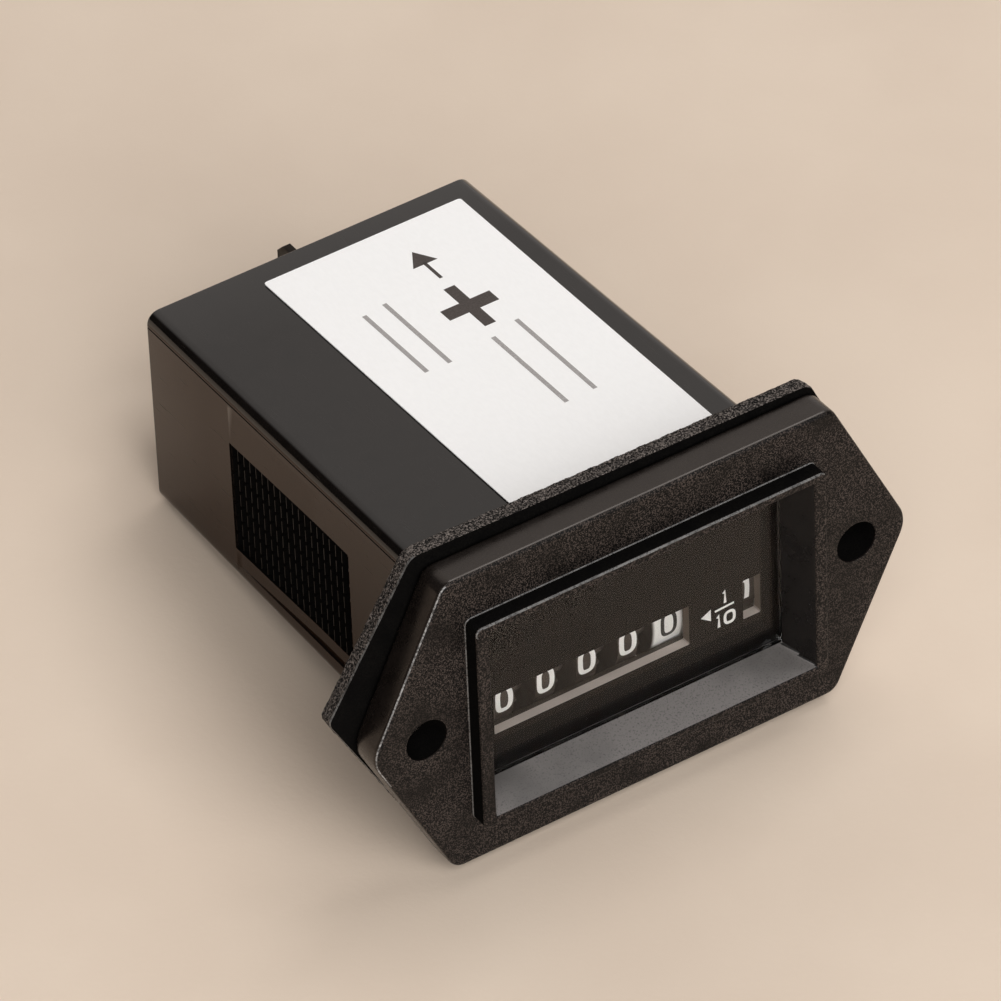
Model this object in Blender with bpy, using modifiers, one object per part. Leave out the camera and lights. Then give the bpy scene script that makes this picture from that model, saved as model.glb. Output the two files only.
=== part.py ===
"""Panel hour meter: a moulded case and flange round a six-drum counter and its stepping motor.

Lengths are in metres. X runs to the right seen from the front, Y runs from the panel to the
rear and Z runs up. Inside the script, places are counted from the middle of the body in the
plane of the flange's rear face. The root empty then shifts them, so that the finished part
has its origin in the middle of the underside of its bounding box.
"""

import math

import bmesh
import bpy
from mathutils import Matrix, Vector

MM = 0.001

# Clearances
SEAT = 0.3 * MM
SEAM = 0.1 * MM
FIT = 0.15 * MM
RUNNING_FIT = 0.06 * MM
PIN_FIT = 0.05 * MM

# Digit drums, on one axle along X
DRUM_RADIUS = 6.3 * MM
DRUM_PITCH = 4.36 * MM
RING_WIDTH = 2.1 * MM
UNITS_X = 5.2 * MM
TENTHS_STEP = 8.3 * MM
DRUM_DROP = 3.3 * MM
DRUM_GEAR_WIDTH = 0.8 * MM
DRUM_AXLE_RADIUS = 0.9 * MM
CARRY_TOOTH_HEIGHT = 0.3 * MM
CARRY_TOOTH_ANGLE = math.radians(9)
HUB_RADIUS = 2.2 * MM

# Carry gearing between neighbouring drums
DRUM_TEETH = 20
CARRY_TEETH = 8
CARRY_ANGLE = math.radians(60)
CARRY_AXLE_RADIUS = 0.5 * MM
CARRY_GAP = 0.48 * MM
DISC_GAP = 0.18 * MM

# Reduction train from the rotor to the tenths drum
TRAIN_MODULE = 0.3 * MM
INPUT_TEETH = 40
IDLER_TEETH = 24
SECOND_PINION_TEETH = 10
WHEEL_TEETH = 40
PINION_TEETH = 8
IDLER_ANGLE = math.radians(-10)
SECOND_ANGLE = math.radians(20)
FIRST_ANGLE = math.radians(25)
ROTOR_ANGLE = math.radians(10)
WHEEL_WIDTH = 0.8 * MM
WHEEL_STEP = 1.4 * MM
INPUT_GAP = 3.2 * MM
ARBOR_RADIUS = 0.4 * MM

# Tooth form, as shares of the module and of the tooth pitch
ADDENDUM = 0.8
DEDENDUM = 1.1
TIP_SHARE = 0.2
ROOT_SHARE = 0.6
SLIM_TOOTH = 0.96

# Counter frame and movement plates
CHEEK_WIDTH = 0.8 * MM
CHEEK_HALF_HEIGHT = 8.4 * MM
WEB_WIDTH = 0.8 * MM
WEB_LOW = 2.0 * MM
WEB_INSET = 0.6 * MM
WEB_ROOM = 1.3 * MM
PLATE_WIDTH = 0.8 * MM
PLATE_HALF_HEIGHT = 7.9 * MM
PLATE_MARGIN = 3.5 * MM
PILLAR_RADIUS = 1.1 * MM
PILLAR_INSET = 1.76 * MM
PILLAR_SETBACK = 2.86 * MM

# Stepping motor
MAGNET_RADIUS = 2.2 * MM
ROTOR_SLEEVE_RADIUS = 0.85 * MM
STATOR_WIDTH = 1.6 * MM
AIR_GAP = 0.4 * MM
STATOR_OVERHANG = 0.5 * MM
STATOR_MARGIN = 4.8 * MM
STATOR_ARM = 2.4 * MM
CORE_WIDTH = 2.6 * MM
CORE_THICKNESS = 1.6 * MM
BOBBIN_GAP = 0.4 * MM
BOBBIN_WALL = 0.34 * MM
BOBBIN_FLANGE = 0.4 * MM
WINDING_DEPTH = 1.1 * MM
SCREW_RADIUS = 0.7 * MM
SCREW_HEAD_RADIUS = 1.2 * MM
SCREW_HEAD_HEIGHT = 0.7 * MM

# Case
CASE_WALL = 1.1 * MM
CASE_REAR_WALL = 1.2 * MM
CASE_ROUND = 1.3 * MM
REAR_ROUND_SHARE = 0.12
CASE_DRAFT = math.radians(0.888)
DRUM_ROOM = 0.8 * MM
COUNTER_ROOM = 0.3 * MM
REAR_ROOM = 2.6 * MM

# Clip panel and ratchet ribs on the case's sides
PANEL_DEPTH = 0.25 * MM
PANEL_HALF_HEIGHT = 8.9 * MM
PANEL_REAR = 36.0 * MM
PANEL_FRONT = 4.0 * MM
RIB_COUNT = 13
RIB_PITCH = 1.49 * MM
RIB_DEPTH = 0.45 * MM
RIB_SLOPE_SHARE = 0.72
RIB_STEEP_SHARE = 0.8
RIB_LOW = -6.6 * MM
RIB_HIGH = 4.9 * MM

# Bezel
FLANGE_THICKNESS = 3.33 * MM
FLANGE_HALF_HEIGHT = 16.1 * MM
FLANGE_SHOULDER = 2.25 * MM
HOLE_MARGIN = 4.6 * MM
TIP_MARGIN = 5.65 * MM
HOLE_RADIUS = 2.05 * MM
SHOULDER_ROUND = 1.6 * MM
TIP_ROUND = 3.2 * MM
EDGE_ROUND = 0.35 * MM
SKIRT_WALL = 0.65 * MM
SKIRT_DEPTH = 2.5 * MM
FRAME_RISE = 1.79 * MM
FRAME_SIDE = 1.27 * MM
FRAME_TOP = 0.84 * MM
WINDOW_DEPTH = 3.4 * MM
WINDOW_SLOPE = 1.4 * MM
LENS_LIP = 0.45 * MM

# Lens, dial and gasket
LENS_THICKNESS = 1.6 * MM
DIAL_THICKNESS = 1.0 * MM
DIAL_WINDOW_HEIGHT = 4.4 * MM
DIAL_WINDOW_LEFT = 1.95 * MM
DIAL_WINDOW_RIGHT = 1.3 * MM
TENTHS_WINDOW_WIDTH = 1.9 * MM
TENTHS_WINDOW_SHIFT = -0.3 * MM
GASKET_THICKNESS = 1.5 * MM
GASKET_DROP = 0.4 * MM
GASKET_RISE_LEFT = 1.4 * MM
GASKET_RISE_RIGHT = 0.65 * MM
GASKET_SPREAD = 1.0 * MM
GASKET_REACH = 2.1 * MM
GASKET_TIP_LIFT = 3.2 * MM
GASKET_TIP_ROUND = 0.9 * MM
GASKET_HOLE_RADIUS = 2.4 * MM

# Label on the case's top
LABEL_THICKNESS = 0.12 * MM
LABEL_GAP = 0.05 * MM
LABEL_WIDTH = 21.2 * MM
LABEL_X = 4.05 * MM
LABEL_REAR_MARGIN = 2.7 * MM
LABEL_ROUND = 0.3 * MM

# Terminals through the rear wall
BLADE_WIDTH = 6.35 * MM
BLADE_THICKNESS = 0.8 * MM
BLADE_REACH = 8.8 * MM
BLADE_CHAMFER = 1.0 * MM
BLADE_HOLE_RADIUS = 0.9 * MM
TAIL_WIDTH = 3.2 * MM
TAIL_LENGTH = 6.0 * MM
POSITIVE_X = 2.3 * MM
NEGATIVE_X = -9.0 * MM
TERMINAL_Z = 1.5 * MM

# Circuit board and what is soldered to it
BOARD_THICKNESS = 1.0 * MM
BOARD_MARGIN = 2.2 * MM
BOARD_FRONT_GAP = 2.0 * MM
BOARD_REAR_GAP = 1.4 * MM
CAPACITOR_RADIUS = 4.0 * MM
CAPACITOR_LENGTH = 10.0 * MM
CAPACITOR_GROOVE_SHARE = 0.85
CRYSTAL_LENGTH = 10.6 * MM
CRYSTAL_WIDTH = 4.4 * MM
CRYSTAL_HEIGHT = 3.4 * MM
CRYSTAL_ROUND = 2.1 * MM
CHIP_LENGTH = 6.2 * MM
CHIP_WIDTH = 4.6 * MM
CHIP_HEIGHT = 1.5 * MM
RESISTOR_RADIUS = 1.2 * MM
RESISTOR_LENGTH = 5.6 * MM
DIODE_RADIUS = 1.35 * MM
DIODE_LENGTH = 4.8 * MM
LEAD_RADIUS = 0.35 * MM
LEAD_LENGTH = 1.3 * MM

# Smoothness of round forms
SEGMENTS = 32
FINE_SEGMENTS = 40
SMALL_SEGMENTS = 16

# Places that follow from the sizes above
TENTHS_X = UNITS_X + TENTHS_STEP
LAST_DRUM_X = UNITS_X - 4 * DRUM_PITCH
CHEEK_FACE = max(TENTHS_X, -LAST_DRUM_X) + RING_WIDTH / 2 + 2 * SEAT
CHEEK_OUTER = CHEEK_FACE + CHEEK_WIDTH
SKIRT_INNER_X = CHEEK_OUTER + COUNTER_ROOM
SKIRT_OUTER_X = SKIRT_INNER_X + SKIRT_WALL
BODY_HALF_WIDTH = SKIRT_OUTER_X + FIT + CASE_WALL

RIM_Y = -FLANGE_THICKNESS - FRAME_RISE
LIP_Y = RIM_Y + WINDOW_DEPTH
LENS_BACK = LIP_Y + SEAM + LENS_THICKNESS
DIAL_FRONT = LENS_BACK + SEAM
DIAL_BACK = DIAL_FRONT + DIAL_THICKNESS


def step_from(centre, distance, angle):
    """Returns the point in the YZ plane at a distance and direction from another point."""
    return (centre[0] + distance * math.cos(angle), centre[1] + distance * math.sin(angle))


def centre_distance(teeth_a, teeth_b, module):
    """Returns the distance between the axes of two meshing gears."""
    return (teeth_a + teeth_b) * module / 2


def tip_radius(teeth, module):
    """Returns a gear's outer radius."""
    return (teeth / 2 + ADDENDUM) * module


COUNTER_RADIUS = max(DRUM_RADIUS, tip_radius(INPUT_TEETH, TRAIN_MODULE))
CARRY_DISTANCE = COUNTER_RADIUS + CARRY_GAP + CARRY_AXLE_RADIUS
CARRY_MODULE = 2 * CARRY_DISTANCE / (DRUM_TEETH + CARRY_TEETH)
CARRY_TIP_RADIUS = tip_radius(CARRY_TEETH, CARRY_MODULE)
CARRY_DISC_RADIUS = CARRY_DISTANCE - CARRY_TIP_RADIUS - DISC_GAP - CARRY_TOOTH_HEIGHT

# Axes across the counter and the train, as (y, z)
DRUM_AXIS = (DIAL_BACK + SEAT + COUNTER_RADIUS, -DRUM_DROP)
CARRY_AXIS = step_from(DRUM_AXIS, CARRY_DISTANCE, CARRY_ANGLE)
IDLER_AXIS = step_from(
    DRUM_AXIS, centre_distance(INPUT_TEETH, IDLER_TEETH, TRAIN_MODULE), IDLER_ANGLE
)
SECOND_AXIS = step_from(
    IDLER_AXIS, centre_distance(IDLER_TEETH, SECOND_PINION_TEETH, TRAIN_MODULE), SECOND_ANGLE
)
FIRST_AXIS = step_from(
    SECOND_AXIS, centre_distance(WHEEL_TEETH, PINION_TEETH, TRAIN_MODULE), FIRST_ANGLE
)
ROTOR_AXIS = step_from(
    FIRST_AXIS, centre_distance(WHEEL_TEETH, PINION_TEETH, TRAIN_MODULE), ROTOR_ANGLE
)
WHEEL_RADIUS = tip_radius(WHEEL_TEETH, TRAIN_MODULE)

# Planes of the train along X, from the input gear leftwards
INPUT_X = TENTHS_X - RING_WIDTH / 2 - INPUT_GAP
SECOND_X = INPUT_X - WHEEL_STEP
FIRST_X = SECOND_X - WHEEL_STEP
PLATE_RIGHT_X = INPUT_X + WHEEL_WIDTH / 2 + 2 * SEAT
PLATE_LEFT_X = FIRST_X - WHEEL_WIDTH / 2 - 2 * SEAT
STATOR_X = SECOND_X + WHEEL_WIDTH / 2 - SEAT
CORE_X = STATOR_X + STATOR_WIDTH + SEAM

# Motor
STATOR_BORE = MAGNET_RADIUS + AIR_GAP
STATOR_HALF_HEIGHT = PLATE_HALF_HEIGHT + STATOR_OVERHANG
BOBBIN_HALF_LENGTH = STATOR_HALF_HEIGHT - STATOR_ARM - BOBBIN_GAP
BOBBIN_TUBE_RADIUS = BOBBIN_WALL + math.hypot(CORE_WIDTH / 2 + SEAM, CORE_THICKNESS / 2 + SEAM)
BOBBIN_RADIUS = BOBBIN_TUBE_RADIUS + WINDING_DEPTH

# Depths behind the panel
FRAME_FRONT = DIAL_BACK + SEAT
FRAME_REAR = CARRY_AXIS[0] + CARRY_TIP_RADIUS + WEB_ROOM
PLATE_FRONT = FRAME_REAR + SEAM
STATOR_FRONT = ROTOR_AXIS[0] - STATOR_MARGIN
STATOR_BLOCK_REAR = ROTOR_AXIS[0] + STATOR_BORE + SEAT
PLATE_REAR = ROTOR_AXIS[0] + PLATE_MARGIN
COIL_Y = PLATE_REAR + BOBBIN_RADIUS + 2 * SEAT
STATOR_REAR = COIL_Y + CORE_WIDTH / 2 + SEAM
CASE_CAVITY_REAR = COIL_Y + BOBBIN_RADIUS + REAR_ROOM
BODY_DEPTH = CASE_CAVITY_REAR + CASE_REAR_WALL
BLADE_END = BODY_DEPTH + BLADE_REACH

# Circuit board, as high as the taller of its two rows of parts
FIRST_ROW_HEIGHT = CRYSTAL_WIDTH + CHIP_LENGTH + 3 * BOARD_MARGIN
SECOND_ROW_HEIGHT = 2 * CAPACITOR_RADIUS + RESISTOR_LENGTH + 2 * LEAD_LENGTH + 3 * SEAT
BOARD_HALF_HEIGHT = max(FIRST_ROW_HEIGHT, SECOND_ROW_HEIGHT) / 2
BOARD_X = POSITIVE_X - BLADE_THICKNESS / 2 - SEAT - BOARD_THICKNESS
BOARD_FRONT = FRAME_REAR + BOARD_FRONT_GAP
BOARD_REAR = CASE_CAVITY_REAR - BOARD_REAR_GAP
BOARD_FACE = BOARD_X - SEAM

# The body is as high as the tallest of what it holds needs
REAR_LOSS = CASE_CAVITY_REAR * math.tan(CASE_DRAFT)
LOWEST_WHEEL = max(-SECOND_AXIS[1], -FIRST_AXIS[1]) + WHEEL_RADIUS
COUNTER_ROOM_Z = max(DRUM_DROP + COUNTER_RADIUS, LOWEST_WHEEL) + DRUM_ROOM
CHEEK_ROOM_Z = CHEEK_HALF_HEIGHT + 2 * SEAT + SKIRT_WALL + FIT
REAR_ROOM_Z = max(STATOR_HALF_HEIGHT, BOARD_HALF_HEIGHT) + SEAT + REAR_LOSS
BODY_HALF_HEIGHT = max(COUNTER_ROOM_Z, CHEEK_ROOM_Z, REAR_ROOM_Z) + CASE_WALL

# Housing
SKIRT_OUTER_Z = BODY_HALF_HEIGHT - CASE_WALL - FIT
SKIRT_INNER_Z = SKIRT_OUTER_Z - SKIRT_WALL
LENS_HALF = (SKIRT_INNER_X - SEAM, SKIRT_INNER_Z - SEAM)
WINDOW_HALF = (LENS_HALF[0] - LENS_LIP, LENS_HALF[1] - LENS_LIP)
RIM_HALF = (WINDOW_HALF[0] + WINDOW_SLOPE, WINDOW_HALF[1] + WINDOW_SLOPE)
FRAME_HALF = (RIM_HALF[0] + FRAME_SIDE, RIM_HALF[1] + FRAME_TOP)
HOLE_X = BODY_HALF_WIDTH + HOLE_MARGIN
FLANGE_TIP_X = HOLE_X + TIP_MARGIN
FLANGE_SHOULDER_X = BODY_HALF_WIDTH + FLANGE_SHOULDER
GASKET_LOW = -FLANGE_HALF_HEIGHT - GASKET_DROP


def body_half_width(y):
    """Returns half the case's outer width at a depth behind the panel."""
    return BODY_HALF_WIDTH - y * math.tan(CASE_DRAFT)


def body_half_height(y):
    """Returns half the case's outer height at a depth behind the panel."""
    return BODY_HALF_HEIGHT - y * math.tan(CASE_DRAFT)


# Scene, collections and materials


def clear_scene():
    """Removes every object, so that the script can be run again."""
    for item in list(bpy.data.objects):
        bpy.data.objects.remove(item, do_unlink=True)


def new_collection(name):
    """Returns an empty collection linked to the scene."""
    collection = bpy.data.collections.new(name)
    bpy.context.scene.collection.children.link(collection)
    return collection


clear_scene()
PARTS = new_collection("hour_meter")
CUTTERS = new_collection("cutters")
ROOT = bpy.data.objects.new("meter_root", None)
PARTS.objects.link(ROOT)


def material(name, colour, roughness, metallic=0.0, transmission=0.0):
    """Returns a Principled material."""
    made = bpy.data.materials.new(name)
    made.use_nodes = True
    shader = made.node_tree.nodes["Principled BSDF"]
    shader.inputs["Base Color"].default_value = (*colour, 1.0)
    shader.inputs["Roughness"].default_value = roughness
    shader.inputs["Metallic"].default_value = metallic
    shader.inputs["Transmission Weight"].default_value = transmission
    made.diffuse_color = (*colour, 1.0)
    return made


BLACK_GRAINED = material("black_grained_plastic", (0.018, 0.018, 0.018), 0.5)
BLACK_GLOSS = material("black_gloss_plastic", (0.014, 0.013, 0.013), 0.15)
BLACK_FOAM = material("black_foam", (0.02, 0.02, 0.021), 0.95)
CLEAR = material("clear_plastic", (0.95, 0.95, 0.95), 0.03, transmission=1.0)
DIAL_BLACK = material("dial_black", (0.012, 0.011, 0.011), 0.4)
PAPER = material("label_paper", (0.9, 0.9, 0.89), 0.5)
DRUM_BLACK = material("drum_black", (0.03, 0.027, 0.026), 0.4)
FRAME_GREY = material("frame_plastic", (0.35, 0.35, 0.33), 0.5)
GEAR_WHITE = material("gear_plastic", (0.78, 0.77, 0.72), 0.4)
STEEL = material("steel", (0.62, 0.62, 0.62), 0.3, 1.0)
TINNED_BRASS = material("tinned_brass", (0.66, 0.65, 0.6), 0.3, 1.0)
COPPER = material("copper_winding", (0.55, 0.2, 0.09), 0.4, 1.0)
MAGNET = material("magnet_black", (0.06, 0.06, 0.065), 0.6)
BOARD_GREEN = material("board_green", (0.02, 0.12, 0.05), 0.4)
CHIP_BLACK = material("chip_black", (0.02, 0.02, 0.02), 0.5)
RESISTOR_TAN = material("resistor_tan", (0.5, 0.38, 0.25), 0.5)
SLEEVE_BLUE = material("capacitor_sleeve", (0.02, 0.05, 0.16), 0.35)


# Basic shapes


def place(name, mesh, origin, collection=None):
    """Returns an object for a mesh, in the root's frame, with its origin at a point."""
    made = bpy.data.objects.new(name, mesh)
    (collection or CUTTERS).objects.link(made)
    made.parent = ROOT
    made.location = origin
    if collection is None:
        made.hide_render = True
        made.display_type = "WIRE"
    return made


def mesh_from(builder, name):
    """Returns a mesh made by a function that fills a bmesh."""
    mesh = bpy.data.meshes.new(name)
    shape = bmesh.new()
    builder(shape)
    shape.to_mesh(mesh)
    shape.free()
    return mesh


def block(name, low, high):
    """Returns a box between two corners."""
    low, high = Vector(low), Vector(high)

    def build(shape):
        bmesh.ops.create_cube(shape, size=1.0)
        bmesh.ops.scale(shape, vec=high - low, verts=shape.verts)

    return place(name, mesh_from(build, name), (low + high) / 2)


def tapered_block(name, near_half, near_y, far_half, far_y):
    """Returns a box along Y whose half width and half height change evenly from end to end."""

    def build(shape):
        bmesh.ops.create_cube(shape, size=2.0)
        for vert in shape.verts:
            half = near_half if vert.co.y < 0 else far_half
            vert.co.x *= half[0]
            vert.co.z *= half[1]
            vert.co.y = near_y if vert.co.y < 0 else far_y

    return place(name, mesh_from(build, name), (0, 0, 0))


AXIS_TURN = {
    "X": Matrix(((0, 0, 1, 0), (1, 0, 0, 0), (0, 1, 0, 0), (0, 0, 0, 1))),
    "Y": Matrix(((1, 0, 0, 0), (0, 0, -1, 0), (0, 1, 0, 0), (0, 0, 0, 1))),
    "Z": Matrix.Identity(4),
}


def on_axis(axis, pair, along):
    """Returns the point with these two coordinates across an axis and this one along it."""
    if axis == "X":
        return Vector((along, pair[0], pair[1]))
    if axis == "Y":
        return Vector((pair[0], along, pair[1]))
    return Vector((pair[0], pair[1], along))


def rod(name, axis, radius, near, far, centre, segments=SMALL_SEGMENTS):
    """Returns a cylinder along an axis, with its origin at its middle."""

    def build(shape):
        bmesh.ops.create_cone(
            shape,
            cap_ends=True,
            segments=segments,
            radius1=radius,
            radius2=radius,
            depth=far - near,
        )
        bmesh.ops.transform(shape, matrix=AXIS_TURN[axis], verts=shape.verts)

    return place(name, mesh_from(build, name), on_axis(axis, centre, (near + far) / 2))


def slab(name, axis, outlines, near, far, centre=(0, 0)):
    """Returns a flat piece: closed outlines about a centre, filled and given a thickness.

    The first outline is the outer edge and the others are holes.
    """
    flat = bpy.data.curves.new(name, "CURVE")
    flat.dimensions = "2D"
    flat.fill_mode = "BOTH"
    flat.extrude = (far - near) / 2
    for outline in outlines:
        spline = flat.splines.new("POLY")
        spline.points.add(len(outline) - 1)
        for point, (u, v) in zip(spline.points, outline):
            point.co = (u, v, 0, 1)
        spline.use_cyclic_u = True
    guide = bpy.data.objects.new(name, flat)
    CUTTERS.objects.link(guide)
    graph = bpy.context.evaluated_depsgraph_get()
    mesh = bpy.data.meshes.new_from_object(guide.evaluated_get(graph))
    bpy.data.objects.remove(guide)
    shape = bmesh.new()
    shape.from_mesh(mesh)
    bmesh.ops.remove_doubles(shape, verts=shape.verts, dist=1e-7)
    bmesh.ops.transform(shape, matrix=AXIS_TURN[axis], verts=shape.verts)
    shape.to_mesh(mesh)
    shape.free()
    return place(name, mesh, on_axis(axis, centre, (near + far) / 2))


def turned(name, axis, profile, start, centre, steps=SMALL_SEGMENTS):
    """Returns a turned piece from (radius, height) points that run down its outer side."""
    mesh = bpy.data.meshes.new(name)
    points = [(radius, 0, height) for radius, height in profile]
    mesh.from_pydata(points, [(i, i + 1) for i in range(len(points) - 1)], [])
    made = place(name, mesh, on_axis(axis, centre, start))
    made.matrix_local = Matrix.Translation(on_axis(axis, centre, start)) @ AXIS_TURN[axis]
    screw = made.modifiers.new("Screw", "SCREW")
    screw.steps = steps
    screw.render_steps = steps
    screw.use_merge_vertices = True
    screw.merge_threshold = 0.00001
    return made


def circle(radius, segments=SMALL_SEGMENTS, centre=(0, 0)):
    """Returns the points of a circle."""
    turn = 2 * math.pi / segments
    return [
        (centre[0] + radius * math.cos(i * turn), centre[1] + radius * math.sin(i * turn))
        for i in range(segments)
    ]


def rounded(corners, radii, steps=5):
    """Returns a closed outline with each corner replaced by an arc of its own radius."""
    points = []
    count = len(corners)
    for i, radius in enumerate(radii):
        corner = Vector(corners[i])
        before = (Vector(corners[i - 1]) - corner).normalized()
        after = (Vector(corners[(i + 1) % count]) - corner).normalized()
        half = before.angle(after) / 2
        centre = corner + (before + after).normalized() * (radius / math.sin(half))
        first = corner + before * (radius / math.tan(half)) - centre
        last = corner + after * (radius / math.tan(half)) - centre
        sweep = first.angle_signed(last)
        for k in range(steps + 1):
            arm = first.copy()
            arm.rotate(Matrix.Rotation(-sweep * k / steps, 2))
            points.append(tuple(centre + arm))
    return points


def rectangle(half_width, half_height, radius, centre=(0, 0), steps=5):
    """Returns a rounded rectangle's outline, counterclockwise."""
    signs = ((1, 1), (-1, 1), (-1, -1), (1, -1))
    corners = [(centre[0] + sx * half_width, centre[1] + sy * half_height) for sx, sy in signs]
    return rounded(corners, [radius] * 4, steps)


def gear_outline(teeth, module, phase=0.0, skip=1, slim=1.0):
    """Returns a spur gear's outline, with every tooth or every second or third one.

    A tooth has straight flanks from its root to its tip, thin enough to run in its mate
    with a little backlash.
    """
    root = (teeth / 2 - DEDENDUM) * module
    tip = tip_radius(teeth, module)
    pitch = 2 * math.pi / teeth
    points = []
    for k in range(0, teeth, skip):
        flank = (
            (root, -ROOT_SHARE / 2),
            (tip, -TIP_SHARE / 2),
            (tip, TIP_SHARE / 2),
            (root, ROOT_SHARE / 2),
        )
        for radius, share in flank:
            angle = phase + (k + share * slim) * pitch
            points.append((radius * math.cos(angle), radius * math.sin(angle)))
    return points


def mate_phase(teeth_a, phase_a, centre_a, teeth_b, centre_b):
    """Returns the second gear's phase, so that its gap faces the first gear's tooth."""
    angle = math.atan2(centre_b[1] - centre_a[1], centre_b[0] - centre_a[0])
    return angle + math.pi - (teeth_a * (phase_a - angle) + math.pi) / teeth_b


def carry_outline():
    """Returns a carry disc's outline: a circle with two short teeth side by side."""
    tip = CARRY_DISC_RADIUS + CARRY_TOOTH_HEIGHT
    half_tooth = CARRY_TOOTH_ANGLE * TIP_SHARE
    points = []
    for side in (-1, 1):
        middle = side * CARRY_TOOTH_ANGLE
        for radius, angle in (
            (CARRY_DISC_RADIUS, middle - 2 * half_tooth),
            (tip, middle - half_tooth),
            (tip, middle + half_tooth),
            (CARRY_DISC_RADIUS, middle + 2 * half_tooth),
        ):
            points.append((radius * math.cos(angle), radius * math.sin(angle)))
    start = 2 * CARRY_TOOTH_ANGLE
    sweep = 2 * math.pi - 2 * start
    for k in range(SEGMENTS):
        angle = start + sweep * k / (SEGMENTS - 1)
        points.append((CARRY_DISC_RADIUS * math.cos(angle), CARRY_DISC_RADIUS * math.sin(angle)))
    return points


# Joining, cutting and finishing


def combine(target, tool, operation):
    """Adds an exact Boolean with a second object."""
    step = target.modifiers.new(operation.title() + " " + tool.name, "BOOLEAN")
    step.operation = operation
    step.solver = "EXACT"
    step.object = tool
    return target


def join(target, *tools):
    """Joins other shapes to the first one."""
    for tool in tools:
        combine(target, tool, "UNION")
    return target


def cut(target, *tools):
    """Cuts other shapes out of the first one."""
    for tool in tools:
        combine(target, tool, "DIFFERENCE")
    return target


def settle(shape):
    """Replaces a shape's mesh by its evaluated one, so that copies can share it."""
    graph = bpy.context.evaluated_depsgraph_get()
    graph.update()
    mesh = bpy.data.meshes.new_from_object(shape.evaluated_get(graph))
    shape.modifiers.clear()
    shape.data = mesh
    return shape


def round_edges(shape, width, segments=2, angle=math.radians(50)):
    """Adds a bevel on the sharp edges."""
    bevel = shape.modifiers.new("Bevel", "BEVEL")
    bevel.width = width
    bevel.segments = segments
    bevel.limit_method = "ANGLE"
    bevel.angle_limit = angle
    return shape


def mirror_across(shape):
    """Repeats a shape on the other side of the middle plane."""
    mirror = shape.modifiers.new("Mirror", "MIRROR")
    mirror.mirror_object = ROOT
    mirror.merge_threshold = 0.0001
    return shape


def finish(shape, name, look):
    """Makes a shape a named part with its material."""
    CUTTERS.objects.unlink(shape)
    PARTS.objects.link(shape)
    shape.name = name
    shape.hide_render = False
    shape.display_type = "TEXTURED"
    shape.data.name = name
    shape.data.materials.clear()
    shape.data.materials.append(look)
    shape.data.shade_smooth()
    shape.data.set_sharp_from_angle(angle=math.radians(30))
    return shape


# Housing


def flange_outline():
    """Returns the flange's six-sided outline."""
    corners = [
        (FLANGE_SHOULDER_X, FLANGE_HALF_HEIGHT),
        (-FLANGE_SHOULDER_X, FLANGE_HALF_HEIGHT),
        (-FLANGE_TIP_X, 0),
        (-FLANGE_SHOULDER_X, -FLANGE_HALF_HEIGHT),
        (FLANGE_SHOULDER_X, -FLANGE_HALF_HEIGHT),
        (FLANGE_TIP_X, 0),
    ]
    return rounded(corners, [SHOULDER_ROUND, SHOULDER_ROUND, TIP_ROUND] * 2)


def gasket_outline():
    """Returns the foam gasket's outline, which is cut less evenly and sits a little askew."""
    corners = [
        (FLANGE_SHOULDER_X, FLANGE_HALF_HEIGHT + GASKET_RISE_RIGHT),
        (-FLANGE_SHOULDER_X - GASKET_SPREAD, FLANGE_HALF_HEIGHT + GASKET_RISE_LEFT),
        (-FLANGE_TIP_X - GASKET_REACH, GASKET_TIP_LIFT),
        (-FLANGE_SHOULDER_X, GASKET_LOW),
        (FLANGE_SHOULDER_X, GASKET_LOW),
        (FLANGE_TIP_X, 0),
    ]
    shoulder = SHOULDER_ROUND
    radii = [shoulder, shoulder, GASKET_TIP_ROUND, shoulder, shoulder, TIP_ROUND]
    return rounded(corners, radii)


def middle_of_underside():
    """Returns the middle of the underside of the whole meter's bounding box."""
    across = [x for x, _ in flange_outline() + gasket_outline()]
    return Vector(((min(across) + max(across)) / 2, (RIM_Y + BLADE_END) / 2, GASKET_LOW))


def front_bezel():
    """Builds the flange with its raised window frame and the skirt that holds the lens."""
    holes = [circle(HOLE_RADIUS, 24, (side * HOLE_X, 0)) for side in (-1, 1)]
    bezel = slab("bezel", "Y", [flange_outline(), *holes], -FLANGE_THICKNESS, 0)
    round_edges(bezel, EDGE_ROUND)
    inner = -FLANGE_THICKNESS / 2
    frame = slab("raised_frame", "Y", [rectangle(*FRAME_HALF, 2 * EDGE_ROUND)], RIM_Y, inner)
    round_edges(frame, EDGE_ROUND / 2)
    skirt_outline = rectangle(SKIRT_OUTER_X, SKIRT_OUTER_Z, CASE_ROUND / 2)
    skirt = slab("skirt", "Y", [skirt_outline], inner, SKIRT_DEPTH)
    over = WINDOW_DEPTH / 10
    slope = WINDOW_SLOPE * over / WINDOW_DEPTH
    window = tapered_block(
        "window_cut",
        (RIM_HALF[0] + slope, RIM_HALF[1] + slope),
        RIM_Y - over,
        (WINDOW_HALF[0] - slope, WINDOW_HALF[1] - slope),
        LIP_Y + over,
    )
    rebate = block(
        "lens_rebate",
        (-SKIRT_INNER_X, LIP_Y, -SKIRT_INNER_Z),
        (SKIRT_INNER_X, SKIRT_DEPTH + SEAT, SKIRT_INNER_Z),
    )
    join(bezel, frame, skirt)
    cut(bezel, window, rebate)
    return finish(bezel, "front_bezel", BLACK_GRAINED)


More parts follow.
